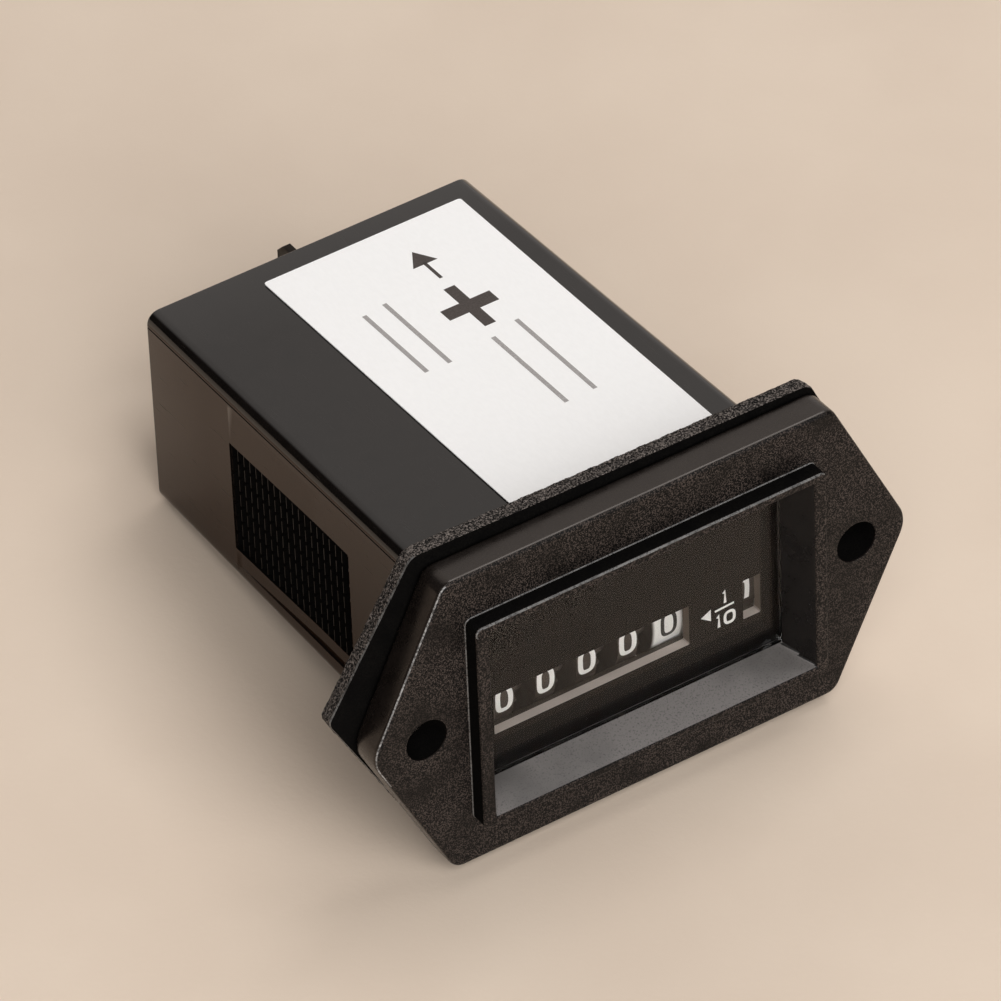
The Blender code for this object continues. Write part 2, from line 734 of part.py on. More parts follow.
def gasket():
    """Builds the foam gasket behind the flange."""
    opening = rectangle(BODY_HALF_WIDTH + SEAT, BODY_HALF_HEIGHT + SEAT, CASE_ROUND)
    holes = [circle(GASKET_HOLE_RADIUS, 20, (side * HOLE_X, 0)) for side in (-1, 1)]
    outlines = [gasket_outline(), opening, *holes]
    shape = slab("gasket", "Y", outlines, SEAM, SEAM + GASKET_THICKNESS)
    return finish(shape, "gasket", BLACK_FOAM)


def lens():
    """Builds the clear flat lens in the bezel's rebate."""
    outline = rectangle(*LENS_HALF, EDGE_ROUND)
    shape = slab("lens", "Y", [outline], LIP_Y + SEAM, LENS_BACK)
    return finish(shape, "lens", CLEAR)


def dial_plate():
    """Builds the dial with the long window over the hours and the small one over the tenths."""
    half = DIAL_WINDOW_HEIGHT / 2
    left = LAST_DRUM_X - DIAL_WINDOW_LEFT
    right = UNITS_X + DIAL_WINDOW_RIGHT
    hours = rectangle((right - left) / 2, half, SEAM, ((left + right) / 2, -DRUM_DROP), 1)
    tenths_centre = (TENTHS_X + TENTHS_WINDOW_SHIFT, -DRUM_DROP)
    tenths = rectangle(TENTHS_WINDOW_WIDTH / 2, half, SEAM, tenths_centre, 1)
    outline = rectangle(*LENS_HALF, EDGE_ROUND)
    shape = slab("dial", "Y", [outline, hours, tenths], DIAL_FRONT, DIAL_BACK)
    return finish(shape, "dial_plate", DIAL_BLACK)


def case_body():
    """Returns the case's outer form, with rounded long edges and a nearly sharp rear edge."""
    rear_half = (body_half_width(BODY_DEPTH), body_half_height(BODY_DEPTH))
    front_half = (body_half_width(SEAM), body_half_height(SEAM))
    body = tapered_block("case", front_half, SEAM, rear_half, BODY_DEPTH)
    weights = body.data.attributes.new("bevel_weight_edge", "FLOAT", "EDGE")
    middle = (SEAM + BODY_DEPTH) / 2
    for edge in body.data.edges:
        ends = [body.data.vertices[i].co.y for i in edge.vertices]
        is_long = min(ends) < middle < max(ends)
        is_rear = min(ends) > middle
        rear_value = REAR_ROUND_SHARE if is_rear else 0.0
        weights.data[edge.index].value = 1.0 if is_long else rear_value
    bevel = body.modifiers.new("Bevel", "BEVEL")
    bevel.width = CASE_ROUND
    bevel.segments = 4
    bevel.limit_method = "WEIGHT"
    return body


def draft_tool(shape):
    """Turns a cutter built at the side of the case by the draft, and mirrors it."""
    shape.location.x += BODY_HALF_WIDTH
    shape.rotation_euler.z = CASE_DRAFT
    return mirror_across(shape)


def clip_panel_cut():
    """Returns the cutter of the shallow panel on each side of the case."""
    shape = block(
        "clip_panel_cut",
        (-PANEL_DEPTH, PANEL_FRONT, -PANEL_HALF_HEIGHT),
        (3 * PANEL_DEPTH, PANEL_REAR, PANEL_HALF_HEIGHT),
    )
    shape.data.transform(Matrix.Translation(shape.location))
    shape.location = (0, 0, 0)
    return draft_tool(shape)


def clip_rib_cut():
    """Returns the cutter of the ratchet ribs: a row of saw teeth across the case's side.

    The gentle slopes face the rear, from where a spring clip is pushed on, and the steep
    faces hold it against the panel.
    """
    start = PANEL_REAR - RIB_COUNT * RIB_PITCH
    crest = -0.8 * PANEL_DEPTH
    valley = -PANEL_DEPTH - RIB_DEPTH
    outline = [(3 * PANEL_DEPTH, PANEL_REAR), (crest, PANEL_REAR)]
    for k in reversed(range(RIB_COUNT)):
        foot = start + k * RIB_PITCH
        outline.append((crest, foot + RIB_STEEP_SHARE * RIB_PITCH))
        outline.append((valley, foot + RIB_SLOPE_SHARE * RIB_PITCH))
        outline.append((crest, foot))
    outline.append((3 * PANEL_DEPTH, start))
    shape = slab("clip_rib_cut", "Z", [outline], RIB_LOW, RIB_HIGH)
    return draft_tool(shape)


def case():
    """Builds the drafted cup with its clip panels, ribs and terminal slots."""
    body = case_body()
    inner_rear = (
        body_half_width(CASE_CAVITY_REAR) - CASE_WALL,
        body_half_height(CASE_CAVITY_REAR) - CASE_WALL,
    )
    front = -CASE_WALL
    inner_front = (body_half_width(front) - CASE_WALL, body_half_height(front) - CASE_WALL)
    cavity = tapered_block("case_cavity", inner_front, front, inner_rear, CASE_CAVITY_REAR)
    half_blade = BLADE_WIDTH / 2 + SEAM
    half_thick = BLADE_THICKNESS / 2 + SEAM
    near, far = CASE_CAVITY_REAR - SEAT, BODY_DEPTH + SEAT
    upright = block(
        "positive_slot",
        (POSITIVE_X - half_thick, near, TERMINAL_Z - half_blade),
        (POSITIVE_X + half_thick, far, TERMINAL_Z + half_blade),
    )
    level = block(
        "negative_slot",
        (NEGATIVE_X - half_blade, near, TERMINAL_Z - half_thick),
        (NEGATIVE_X + half_blade, far, TERMINAL_Z + half_thick),
    )
    cut(body, cavity, clip_panel_cut(), clip_rib_cut(), upright, level)
    return finish(body, "case", BLACK_GLOSS)


def label():
    """Builds the paper label, laid along the case's drafted top and under the gasket."""
    near = SEAM + GASKET_THICKNESS / 2
    far = BODY_DEPTH - LABEL_REAR_MARGIN
    middle = (near + far) / 2
    outline = rectangle(LABEL_WIDTH / 2, (far - near) / 2, LABEL_ROUND)
    shape = slab("label", "Z", [outline], 0, LABEL_THICKNESS)
    height = body_half_height(middle) + LABEL_GAP + LABEL_THICKNESS / 2
    shape.location = (LABEL_X, middle, height)
    shape.rotation_euler.x = -CASE_DRAFT
    return finish(shape, "label", PAPER)


# Terminals


def blade_end_outline():
    """Returns the outline of a blade's wide part, from its shoulder round its chamfered end."""
    half = BLADE_WIDTH / 2
    shoulder = CASE_CAVITY_REAR - SEAT
    return [
        (shoulder, -half),
        (BLADE_END - BLADE_CHAMFER, -half),
        (BLADE_END, -half + BLADE_CHAMFER),
        (BLADE_END, half - BLADE_CHAMFER),
        (BLADE_END - BLADE_CHAMFER, half),
        (shoulder, half),
    ]


def terminal_positive():
    """Builds the upright blade, whose straight tail lies against the circuit board."""
    tail = TAIL_WIDTH / 2
    shoulder = CASE_CAVITY_REAR - SEAT
    inner_end = CASE_CAVITY_REAR - TAIL_LENGTH
    outline = [(shoulder, tail), (inner_end, tail), (inner_end, -tail), (shoulder, -tail)]
    outline += blade_end_outline()
    blade = [(y, z + TERMINAL_Z) for y, z in outline]
    hole = circle(BLADE_HOLE_RADIUS, SMALL_SEGMENTS, (BLADE_END - BLADE_WIDTH / 2, TERMINAL_Z))
    half = BLADE_THICKNESS / 2
    shape = slab("blade", "X", [blade, hole], POSITIVE_X - half, POSITIVE_X + half)
    return finish(shape, "terminal_positive", TINNED_BRASS)


def terminal_negative():
    """Builds the level blade, whose tail turns aside to reach the circuit board."""
    tail = TAIL_WIDTH / 2
    reach = BOARD_FACE - NEGATIVE_X
    shoulder = CASE_CAVITY_REAR - SEAT
    inner_end = CASE_CAVITY_REAR - TAIL_LENGTH / 2
    arm_rear = inner_end + TAIL_WIDTH / 2
    outline = [(shoulder, tail), (arm_rear, tail), (arm_rear, reach), (inner_end, reach)]
    outline += [(inner_end, -tail), (shoulder, -tail)]
    outline += blade_end_outline()
    blade = [(NEGATIVE_X + u, y) for y, u in outline]
    hole = circle(BLADE_HOLE_RADIUS, SMALL_SEGMENTS, (NEGATIVE_X, BLADE_END - BLADE_WIDTH / 2))
    half = BLADE_THICKNESS / 2
    shape = slab("blade", "Z", [blade, hole], TERMINAL_Z - half, TERMINAL_Z + half)
    return finish(shape, "terminal_negative", TINNED_BRASS)


# Counter


def drum_blank(name, hub_left, hub_right):
    """Returns a drum's digit ring and hub about its own middle, still without a bore."""
    ring = rod(name, "X", DRUM_RADIUS, -RING_WIDTH / 2, RING_WIDTH / 2, (0, 0), FINE_SEGMENTS)
    hub = rod(name + "_hub", "X", HUB_RADIUS, hub_left, hub_right, (0, 0), SMALL_SEGMENTS)
    return join(ring, hub)


def drum_bore(name):
    """Returns the cutter of a drum's bore."""
    reach = DRUM_PITCH * 3
    radius = DRUM_AXLE_RADIUS + RUNNING_FIT
    return rod(name + "_bore", "X", radius, -reach, reach, (0, 0), SMALL_SEGMENTS)


def gear_disc(name, teeth, module, near, far, phase=0.0, skip=1, slim=1.0, axis=(0, 0)):
    """Returns a spur gear without a bore, between two planes along X."""
    outline = gear_outline(teeth, module, phase, skip, slim)
    return slab(name, "X", [outline], near, far, axis)


def digit_drum(name, has_carry):
    """Returns a whole-hour drum: its ring, its gear on the right and its carry disc."""
    edge = RING_WIDTH / 2
    left = -edge - DRUM_GEAR_WIDTH if has_carry else -(LAST_DRUM_X + CHEEK_FACE - SEAT)
    right = edge + DRUM_GEAR_WIDTH
    drum = drum_blank(name, min(left, -edge - SEAT), right)
    gear = gear_disc(name + "_gear", DRUM_TEETH, CARRY_MODULE, 0, right)
    join(drum, gear)
    if has_carry:
        disc = slab(name + "_disc", "X", [carry_outline()], -edge - DRUM_GEAR_WIDTH, 0)
        join(drum, disc)
    return cut(drum, drum_bore(name))


def tenths_drum():
    """Returns the tenths drum, with its input gear out of sight between the two windows."""
    name = "tenths"
    edge = RING_WIDTH / 2
    carry_near = -TENTHS_STEP + DRUM_PITCH - edge - DRUM_GEAR_WIDTH
    drum = drum_blank(name, carry_near, CHEEK_FACE - SEAT - TENTHS_X)
    half = WHEEL_WIDTH / 2
    offset = INPUT_X - TENTHS_X
    gear = gear_disc(name + "_gear", INPUT_TEETH, TRAIN_MODULE, offset - half, offset + half)
    disc = slab(name + "_disc", "X", [carry_outline()], carry_near, carry_near + DRUM_GEAR_WIDTH)
    join(drum, gear, disc)
    return cut(drum, drum_bore(name))


def place_drum(shape, name, x):
    """Puts a drum on its axle and makes it a part."""
    shape.location = (x, *DRUM_AXIS)
    return finish(shape, name, DRUM_BLACK)


def copy_of(shape, name, location):
    """Returns another part that shares a part's mesh."""
    twin = bpy.data.objects.new(name, shape.data)
    PARTS.objects.link(twin)
    twin.parent = ROOT
    twin.location = location
    return twin


def drums():
    """Builds the tenths drum and the five whole-hour drums, from right to left."""
    place_drum(settle(tenths_drum()), "drum_tenths", TENTHS_X)
    first = place_drum(settle(digit_drum("drum", True)), "drum_units", UNITS_X)
    for k, name in enumerate(("drum_tens", "drum_hundreds", "drum_thousands"), 1):
        copy_of(first, name, (UNITS_X - k * DRUM_PITCH, *DRUM_AXIS))
    place_drum(settle(digit_drum("last_drum", False)), "drum_ten_thousands", LAST_DRUM_X)


def carry_phase():
    """Returns the turn of a carry pinion that meshes with a drum gear at rest."""
    return mate_phase(DRUM_TEETH, 0.0, DRUM_AXIS, CARRY_TEETH, CARRY_AXIS)


def carry_pinions():
    """Builds the pinions between the drums: eight teeth on one side, four on the other."""
    left_face = RING_WIDTH / 2 + FIT
    right_face = DRUM_PITCH - RING_WIDTH / 2 - FIT
    change = left_face + DRUM_GEAR_WIDTH + SEAM
    phase = carry_phase()
    shape = gear_disc("carry", CARRY_TEETH, CARRY_MODULE, left_face, change, phase)
    half = gear_disc(
        "carry_half", CARRY_TEETH, CARRY_MODULE, left_face + SEAT, right_face, phase, 2, SLIM_TOOTH
    )
    bore_radius = CARRY_AXLE_RADIUS + RUNNING_FIT
    bore = rod("carry_bore", "X", bore_radius, 0, DRUM_PITCH, (0, 0))
    middle = (left_face + change) / 2
    cut(join(shape, half), bore)
    settle(shape)
    first = finish(shape, "carry_pinion_1", GEAR_WHITE)
    first.location = (UNITS_X + middle, *CARRY_AXIS)
    for k in range(1, 5):
        place_x = UNITS_X - k * DRUM_PITCH + middle
        copy_of(first, f"carry_pinion_{k + 1}", (place_x, *CARRY_AXIS))


def axles():
    """Builds the drums' axle and the carry pinions' axle, both held in the cheeks."""
    end = CHEEK_OUTER - SEAM
    drum_axle = rod("axle", "X", DRUM_AXLE_RADIUS, -end, end, DRUM_AXIS)
    finish(drum_axle, "drum_axle", STEEL)
    pinion_axle = rod("axle", "X", CARRY_AXLE_RADIUS, -end, end, CARRY_AXIS)
    finish(pinion_axle, "pinion_axle", STEEL)


def counter_frame():
    """Builds the two cheeks that hold the axles and the web that ties them together."""
    depth = FRAME_REAR - FRAME_FRONT
    centre = ((FRAME_FRONT + FRAME_REAR) / 2, 0)
    outline = rectangle(depth / 2, CHEEK_HALF_HEIGHT, CASE_ROUND, centre)
    bores = [
        circle(DRUM_AXLE_RADIUS + PIN_FIT, SMALL_SEGMENTS, DRUM_AXIS),
        circle(CARRY_AXLE_RADIUS + PIN_FIT, SMALL_SEGMENTS, CARRY_AXIS),
    ]
    left = slab("cheek_left", "X", [outline, *bores], -CHEEK_OUTER, -CHEEK_FACE)
    right = slab("cheek_right", "X", [outline, *bores], CHEEK_FACE, CHEEK_OUTER)
    inside = CHEEK_FACE + CHEEK_WIDTH / 2
    web = block(
        "frame_web",
        (-inside, FRAME_REAR - WEB_WIDTH - SEAM, WEB_LOW),
        (inside, FRAME_REAR - SEAM, CHEEK_HALF_HEIGHT - WEB_INSET),
    )
    join(web, left, right)
    return finish(web, "counter_frame", FRAME_GREY)


# Gear train


def arbor_hole(axis):
    """Returns the outline of a hole for an arbor."""
    return circle(ARBOR_RADIUS + PIN_FIT, 12, axis)


def pillar_places():
    """Returns the axes of the three pillars between the movement plates."""
    height = PLATE_HALF_HEIGHT - PILLAR_INSET
    rear = STATOR_FRONT + PILLAR_SETBACK
    return [(PLATE_FRONT + 2 * PILLAR_RADIUS, height), (rear, -height), (rear, height)]


def movement_plates():
    """Builds the two plates that carry the arbors, and the pillars between them."""
    low = -PLATE_HALF_HEIGHT
    corners = [
        (PLATE_FRONT, PLATE_HALF_HEIGHT),
        (PLATE_FRONT, low),
        (PLATE_REAR, low),
        (PLATE_REAR, PLATE_HALF_HEIGHT),
    ]
    outline = rounded(corners, [CASE_ROUND] * 4)
    holes = [arbor_hole(axis) for axis in (SECOND_AXIS, FIRST_AXIS, ROTOR_AXIS)]
    left = slab("plate", "X", [outline, *holes], PLATE_LEFT_X - PLATE_WIDTH, PLATE_LEFT_X)
    finish(left, "gear_plate_left", TINNED_BRASS)
    holes.append(arbor_hole(IDLER_AXIS))
    right = slab("plate", "X", [outline, *holes], PLATE_RIGHT_X, PLATE_RIGHT_X + PLATE_WIDTH)
    finish(right, "gear_plate_right", TINNED_BRASS)
    for name, axis in zip(("front", "lower", "upper"), pillar_places()):
        near, far = PLATE_LEFT_X + SEAM, PLATE_RIGHT_X - SEAM
        pillar = rod("pillar", "X", PILLAR_RADIUS, near, far, axis)
        finish(pillar, f"plate_pillar_{name}", TINNED_BRASS)


def arbor(name, axis, near=PLATE_LEFT_X - PLATE_WIDTH + SEAM):
    """Builds one fixed arbor, held in the right movement plate and, if it is long, in both."""
    far = PLATE_RIGHT_X + PLATE_WIDTH - SEAM
    finish(rod(name, "X", ARBOR_RADIUS, near, far, axis, 12), name, STEEL)


def train_bore(name):
    """Returns the cutter of a train wheel's bore."""
    reach = 4 * WHEEL_STEP
    return rod(name + "_bore", "X", ARBOR_RADIUS + RUNNING_FIT, -reach, reach, (0, 0), 12)


def idler_gear(phase):
    """Builds the idler between the second pinion and the input gear."""
    half = WHEEL_WIDTH / 2
    shape = gear_disc("idler", IDLER_TEETH, TRAIN_MODULE, -half, half, phase)
    cut(shape, train_bore("idler"))
    settle(shape)
    shape.location = (INPUT_X, *IDLER_AXIS)
    return finish(shape, "idler_gear", GEAR_WHITE)


def wheel_with_pinion(name, pinion_teeth, wheel_phase, pinion_phase, x, axis):
    """Builds a wheel with a pinion on its right side, moulded as one piece."""
    half = WHEEL_WIDTH / 2
    wheel = gear_disc(name, WHEEL_TEETH, TRAIN_MODULE, -half, half, wheel_phase)
    far = WHEEL_STEP + half + SEAM
    pinion = gear_disc(name + "_pinion", pinion_teeth, TRAIN_MODULE, 0, far, pinion_phase)
    cut(join(wheel, pinion), train_bore(name))
    settle(wheel)
    wheel.location = (x, *axis)
    return finish(wheel, name, GEAR_WHITE)


def rotor(phase):
    """Builds the rotor's pinion with its sleeve, and the magnet on the sleeve."""
    half = WHEEL_WIDTH / 2
    end = half + 2 * SEAM
    pinion = gear_disc("rotor_pinion", PINION_TEETH, TRAIN_MODULE, -half, end, phase)
    magnet_near = SECOND_X - FIRST_X - half + 2 * SEAT
    magnet_far = PLATE_RIGHT_X - FIRST_X - SEAT
    sleeve = rod("rotor_sleeve", "X", ROTOR_SLEEVE_RADIUS, half + SEAM, magnet_far, (0, 0))
    cut(join(pinion, sleeve), train_bore("rotor"))
    settle(pinion)
    pinion.location = (FIRST_X, *ROTOR_AXIS)
    finish(pinion, "rotor_pinion", GEAR_WHITE)
    rings = [circle(MAGNET_RADIUS, 24), circle(ROTOR_SLEEVE_RADIUS + PIN_FIT)]
    magnet = slab("magnet", "X", rings, magnet_near, magnet_far)
    magnet.data.transform(Matrix.Translation(magnet.location))
    magnet.location = (FIRST_X, *ROTOR_AXIS)
    return finish(magnet, "rotor_magnet", MAGNET)


def gear_train():
    """Builds the wheels from the tenths drum back to the rotor, each in mesh with the next."""
    idler_phase = mate_phase(INPUT_TEETH, 0.0, DRUM_AXIS, IDLER_TEETH, IDLER_AXIS)
    second_pinion = mate_phase(
        IDLER_TEETH, idler_phase, IDLER_AXIS, SECOND_PINION_TEETH, SECOND_AXIS
    )
    first_pinion = mate_phase(WHEEL_TEETH, 0.0, SECOND_AXIS, PINION_TEETH, FIRST_AXIS)
    rotor_phase = mate_phase(WHEEL_TEETH, 0.0, FIRST_AXIS, PINION_TEETH, ROTOR_AXIS)
    idler_gear(idler_phase)
    wheel_with_pinion(
        "second_wheel", SECOND_PINION_TEETH, 0.0, second_pinion, SECOND_X, SECOND_AXIS
    )
    wheel_with_pinion("first_wheel", PINION_TEETH, 0.0, first_pinion, FIRST_X, FIRST_AXIS)
    rotor(rotor_phase)
    arbor("idler_arbor", IDLER_AXIS, INPUT_X - WHEEL_WIDTH / 2 - SEAM)
    arbor("second_arbor", SECOND_AXIS)
    arbor("first_arbor", FIRST_AXIS)
    arbor("rotor_arbor", ROTOR_AXIS)


# Motor


def stator_plate():
    """Builds the stator: a plate round the rotor with two arms that reach to the coil core."""
    top = STATOR_HALF_HEIGHT
    inner = top - STATOR_ARM
    outline = [
        (STATOR_FRONT, -top),
        (STATOR_REAR, -top),
        (STATOR_REAR, -inner),
        (STATOR_BLOCK_REAR, -inner),
        (STATOR_BLOCK_REAR, inner),
        (STATOR_REAR, inner),
        (STATOR_REAR, top),
        (STATOR_FRONT, top),
    ]
    holes = [circle(STATOR_BORE, 24, ROTOR_AXIS)]
    holes += [circle(PILLAR_RADIUS + SEAM, SMALL_SEGMENTS, axis) for axis in pillar_places()[1:]]
    holes += [circle(SCREW_RADIUS + PIN_FIT, 12, axis) for axis in core_screw_places()]
    shape = slab("stator", "X", [outline, *holes], STATOR_X, STATOR_X + STATOR_WIDTH)
    return finish(shape, "stator_plate", STEEL)


def core_screw_places():
    """Returns the axes of the two screws that hold the coil core on the stator."""
    height = STATOR_HALF_HEIGHT - STATOR_ARM / 2
    return [(COIL_Y, height), (COIL_Y, -height)]


def coil():
    """Builds the straight core, the bobbin on it, the winding and the two core screws."""
    half = CORE_WIDTH / 2
    bar = [
        (COIL_Y - half, -STATOR_HALF_HEIGHT),
        (COIL_Y + half, -STATOR_HALF_HEIGHT),
        (COIL_Y + half, STATOR_HALF_HEIGHT),
        (COIL_Y - half, STATOR_HALF_HEIGHT),
    ]
    holes = [circle(SCREW_RADIUS + PIN_FIT, 12, axis) for axis in core_screw_places()]
    core = slab("core", "X", [bar, *holes], CORE_X, CORE_X + CORE_THICKNESS)
    finish(core, "coil_core", STEEL)

    middle = (CORE_X + CORE_THICKNESS / 2, COIL_Y)
    end = BOBBIN_HALF_LENGTH
    inside = end - BOBBIN_FLANGE
    profile = [
        (0, end),
        (BOBBIN_RADIUS, end),
        (BOBBIN_RADIUS, inside),
        (BOBBIN_TUBE_RADIUS, inside),
        (BOBBIN_TUBE_RADIUS, -inside),
        (BOBBIN_RADIUS, -inside),
        (BOBBIN_RADIUS, -end),
        (0, -end),
    ]
    bobbin = turned("bobbin", "Z", profile, 0, middle, 24)
    opening = block(
        "bobbin_hole",
        (CORE_X - SEAM, COIL_Y - half - SEAM, -2 * end),
        (CORE_X + CORE_THICKNESS + SEAM, COIL_Y + half + SEAM, 2 * end),
    )
    cut(bobbin, opening)
    finish(bobbin, "coil_bobbin", FRAME_GREY)

    rings = [circle(BOBBIN_RADIUS - SEAT, 24), circle(BOBBIN_TUBE_RADIUS + SEAM, 24)]
    winding = slab("winding", "Z", rings, -inside + SEAM, inside - SEAM, middle)
    finish(winding, "coil_winding", COPPER)

    head = CORE_X + CORE_THICKNESS + SEAM
    for name, axis in zip(("upper", "lower"), core_screw_places()):
        screw = rod("screw", "X", SCREW_RADIUS, STATOR_X, head + SEAT, axis, 12)
        cap = rod("head", "X", SCREW_HEAD_RADIUS, head, head + SCREW_HEAD_HEIGHT, axis)
        slot = block(
            "screw_slot",
            (head + SCREW_HEAD_HEIGHT / 2, axis[0] - 2 * SCREW_HEAD_RADIUS, axis[1] - SEAT / 2),
            (head + SCREW_HEAD_HEIGHT * 2, axis[0] + 2 * SCREW_HEAD_RADIUS, axis[1] + SEAT / 2),
        )
        cut(join(screw, cap), slot)
        finish(screw, f"core_screw_{name}", STEEL)


# Electronics


def circuit_board():
    """Builds the upright circuit board beside the movement."""
    outline = [
        (BOARD_FRONT, -BOARD_HALF_HEIGHT),
        (BOARD_REAR, -BOARD_HALF_HEIGHT),
        (BOARD_REAR, BOARD_HALF_HEIGHT),
        (BOARD_FRONT, BOARD_HALF_HEIGHT),
    ]
    shape = slab("board", "X", [outline], BOARD_X, BOARD_X + BOARD_THICKNESS)
    return finish(shape, "circuit_board", BOARD_GREEN)


def leaded(name, radius, length, axis, look):
    """Builds a part with a lead at each end, lying upright against the board."""
    end = length / 2
    lead_end = end + LEAD_LENGTH
    soft = radius * 0.25
    profile = [
        (0, lead_end),
        (LEAD_RADIUS, lead_end),
        (LEAD_RADIUS, end),
        (radius - soft, end),
        (radius, end - soft),
        (radius, -end + soft),
        (radius - soft, -end),
        (LEAD_RADIUS, -end),
        (LEAD_RADIUS, -lead_end),
        (0, -lead_end),
    ]
    place_x = BOARD_FACE - radius
    shape = turned(name, "Z", profile, axis[1], (place_x, axis[0]), 12)
    return finish(shape, name, look)


def capacitor(axis):
    """Builds the smoothing capacitor, a can that stands off the board."""
    far = BOARD_FACE
    near = far - CAPACITOR_LENGTH
    groove = near + CAPACITOR_LENGTH * CAPACITOR_GROOVE_SHARE
    soft = CAPACITOR_RADIUS * 0.1
    profile = [
        (0, far),
        (CAPACITOR_RADIUS - soft, far),
        (CAPACITOR_RADIUS, far - soft),
        (CAPACITOR_RADIUS, groove + soft),
        (CAPACITOR_RADIUS - soft, groove),
        (CAPACITOR_RADIUS, groove - soft),
        (CAPACITOR_RADIUS, near + soft),
        (CAPACITOR_RADIUS - soft, near),
        (0, near),
    ]
    shape = turned("capacitor", "X", profile, 0, axis, 20)
    return finish(shape, "capacitor", SLEEVE_BLUE)


def electronics():
    """Builds the board and its parts, in two rows from the front to the rear."""
    circuit_board()
    row = BOARD_FRONT + CRYSTAL_LENGTH / 2 + SEAT
    high = BOARD_HALF_HEIGHT - BOARD_MARGIN - CRYSTAL_WIDTH / 2
    can = rectangle(CRYSTAL_LENGTH / 2, CRYSTAL_WIDTH / 2, CRYSTAL_ROUND, (row, high), 6)
    near = BOARD_FACE - CRYSTAL_HEIGHT
    finish(slab("crystal", "X", [can], near, BOARD_FACE), "crystal", STEEL)
    chip_z = -BOARD_HALF_HEIGHT + BOARD_MARGIN + CHIP_LENGTH / 2
    chip = block(
        "chip",
        (BOARD_FACE - CHIP_HEIGHT, row - CHIP_WIDTH / 2, chip_z - CHIP_LENGTH / 2),
        (BOARD_FACE, row + CHIP_WIDTH / 2, chip_z + CHIP_LENGTH / 2),
    )
    round_edges(chip, SEAM, 1)
    finish(chip, "driver_chip", CHIP_BLACK)
    next_row = row + CRYSTAL_LENGTH / 2 + CAPACITOR_RADIUS + 2 * SEAT
    capacitor((next_row, BOARD_HALF_HEIGHT - CAPACITOR_RADIUS))
    lead_top = BOARD_HALF_HEIGHT - 2 * CAPACITOR_RADIUS - 3 * SEAT
    resistor_y = row + CHIP_WIDTH / 2 + 2 * RESISTOR_RADIUS
    resistor_z = lead_top - LEAD_LENGTH - RESISTOR_LENGTH / 2
    leaded("resistor", RESISTOR_RADIUS, RESISTOR_LENGTH, (resistor_y, resistor_z), RESISTOR_TAN)
    diode_y = resistor_y + RESISTOR_RADIUS + 2 * DIODE_RADIUS
    diode_z = lead_top - LEAD_LENGTH - DIODE_LENGTH / 2
    leaded("diode", DIODE_RADIUS, DIODE_LENGTH, (diode_y, diode_z), CHIP_BLACK)


def build():
    """Builds every part of the hour meter."""
    ROOT.location = -middle_of_underside()
    front_bezel()
    gasket()
    lens()
    dial_plate()
    case()
    label()
    terminal_positive()
    terminal_negative()
    drums()
    carry_pinions()
    axles()
    counter_frame()
    movement_plates()
    gear_train()
    stator_plate()
    coil()
    electronics()


build()
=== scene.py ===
"""Dressed scene of a panel hour meter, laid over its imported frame.

The frame gives every place, in metres. Inside the script, places on the meter are counted as
its maker would: x to the right and z up from the middle of the case, and y to the rear from
the plane behind the flange. Surfaces are worked out with numpy and closed, and finishes are
built from shader nodes on Object coordinates.
"""

import enum
import logging
import math
from dataclasses import dataclass

import bmesh
import bpy
import numpy as np
from mathutils import Matrix, Vector


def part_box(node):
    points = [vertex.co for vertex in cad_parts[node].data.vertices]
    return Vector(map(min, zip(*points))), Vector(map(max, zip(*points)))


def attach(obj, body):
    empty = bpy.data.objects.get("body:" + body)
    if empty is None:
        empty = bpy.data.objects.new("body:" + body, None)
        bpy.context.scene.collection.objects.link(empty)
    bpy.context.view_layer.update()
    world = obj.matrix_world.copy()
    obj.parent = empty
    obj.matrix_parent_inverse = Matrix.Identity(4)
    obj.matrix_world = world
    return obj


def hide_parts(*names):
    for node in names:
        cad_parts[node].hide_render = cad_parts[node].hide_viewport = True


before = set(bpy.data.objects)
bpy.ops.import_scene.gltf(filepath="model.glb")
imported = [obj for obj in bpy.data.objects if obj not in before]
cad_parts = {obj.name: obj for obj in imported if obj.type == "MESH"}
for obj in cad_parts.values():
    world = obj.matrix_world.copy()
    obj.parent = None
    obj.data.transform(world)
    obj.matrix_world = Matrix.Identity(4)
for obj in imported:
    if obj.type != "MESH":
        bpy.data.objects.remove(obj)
LOG = logging.getLogger("hour_meter")
MM = 0.001
SHARP_ANGLE = math.radians(35)
CASE_FRONT = 0.1 * MM
CASE_DRAFT = math.radians(0.888)
SCREW_X = 22.75 * MM
Pair = tuple[float, float]
Colour = tuple[float, float, float]
Socket = bpy.types.NodeSocket
UNITS_BAND: Pair = (3.4 * MM, 7.1 * MM)


def meter_origin() -> np.ndarray:
    """Finds where the maker's zero point lies in the frame.

    Returns:
        The point in the middle of the case, in the plane behind the flange, in metres.
    """
    low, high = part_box("case")
    return np.array(((low[0] + high[0]) / 2, low[1] - CASE_FRONT, (low[2] + high[2]) / 2))


ORIGIN = meter_origin()


# Mesh helpers


@dataclass
class Shell:
    """Vertices and faces of one surface or of several that make one piece."""

    points: np.ndarray
    faces: list[list[int]]


def joined(shells: list[Shell]) -> Shell:
    """Joins several surfaces.

    Args:
        shells: The surfaces.

    Returns:
        All of them as one.
    """
    starts = np.cumsum([0] + [len(shell.points) for shell in shells]).tolist()
    faces = [[i + start for i in face] for shell, start in zip(shells, starts) for face in shell.faces]
    return Shell(np.concatenate([shell.points for shell in shells]), faces)


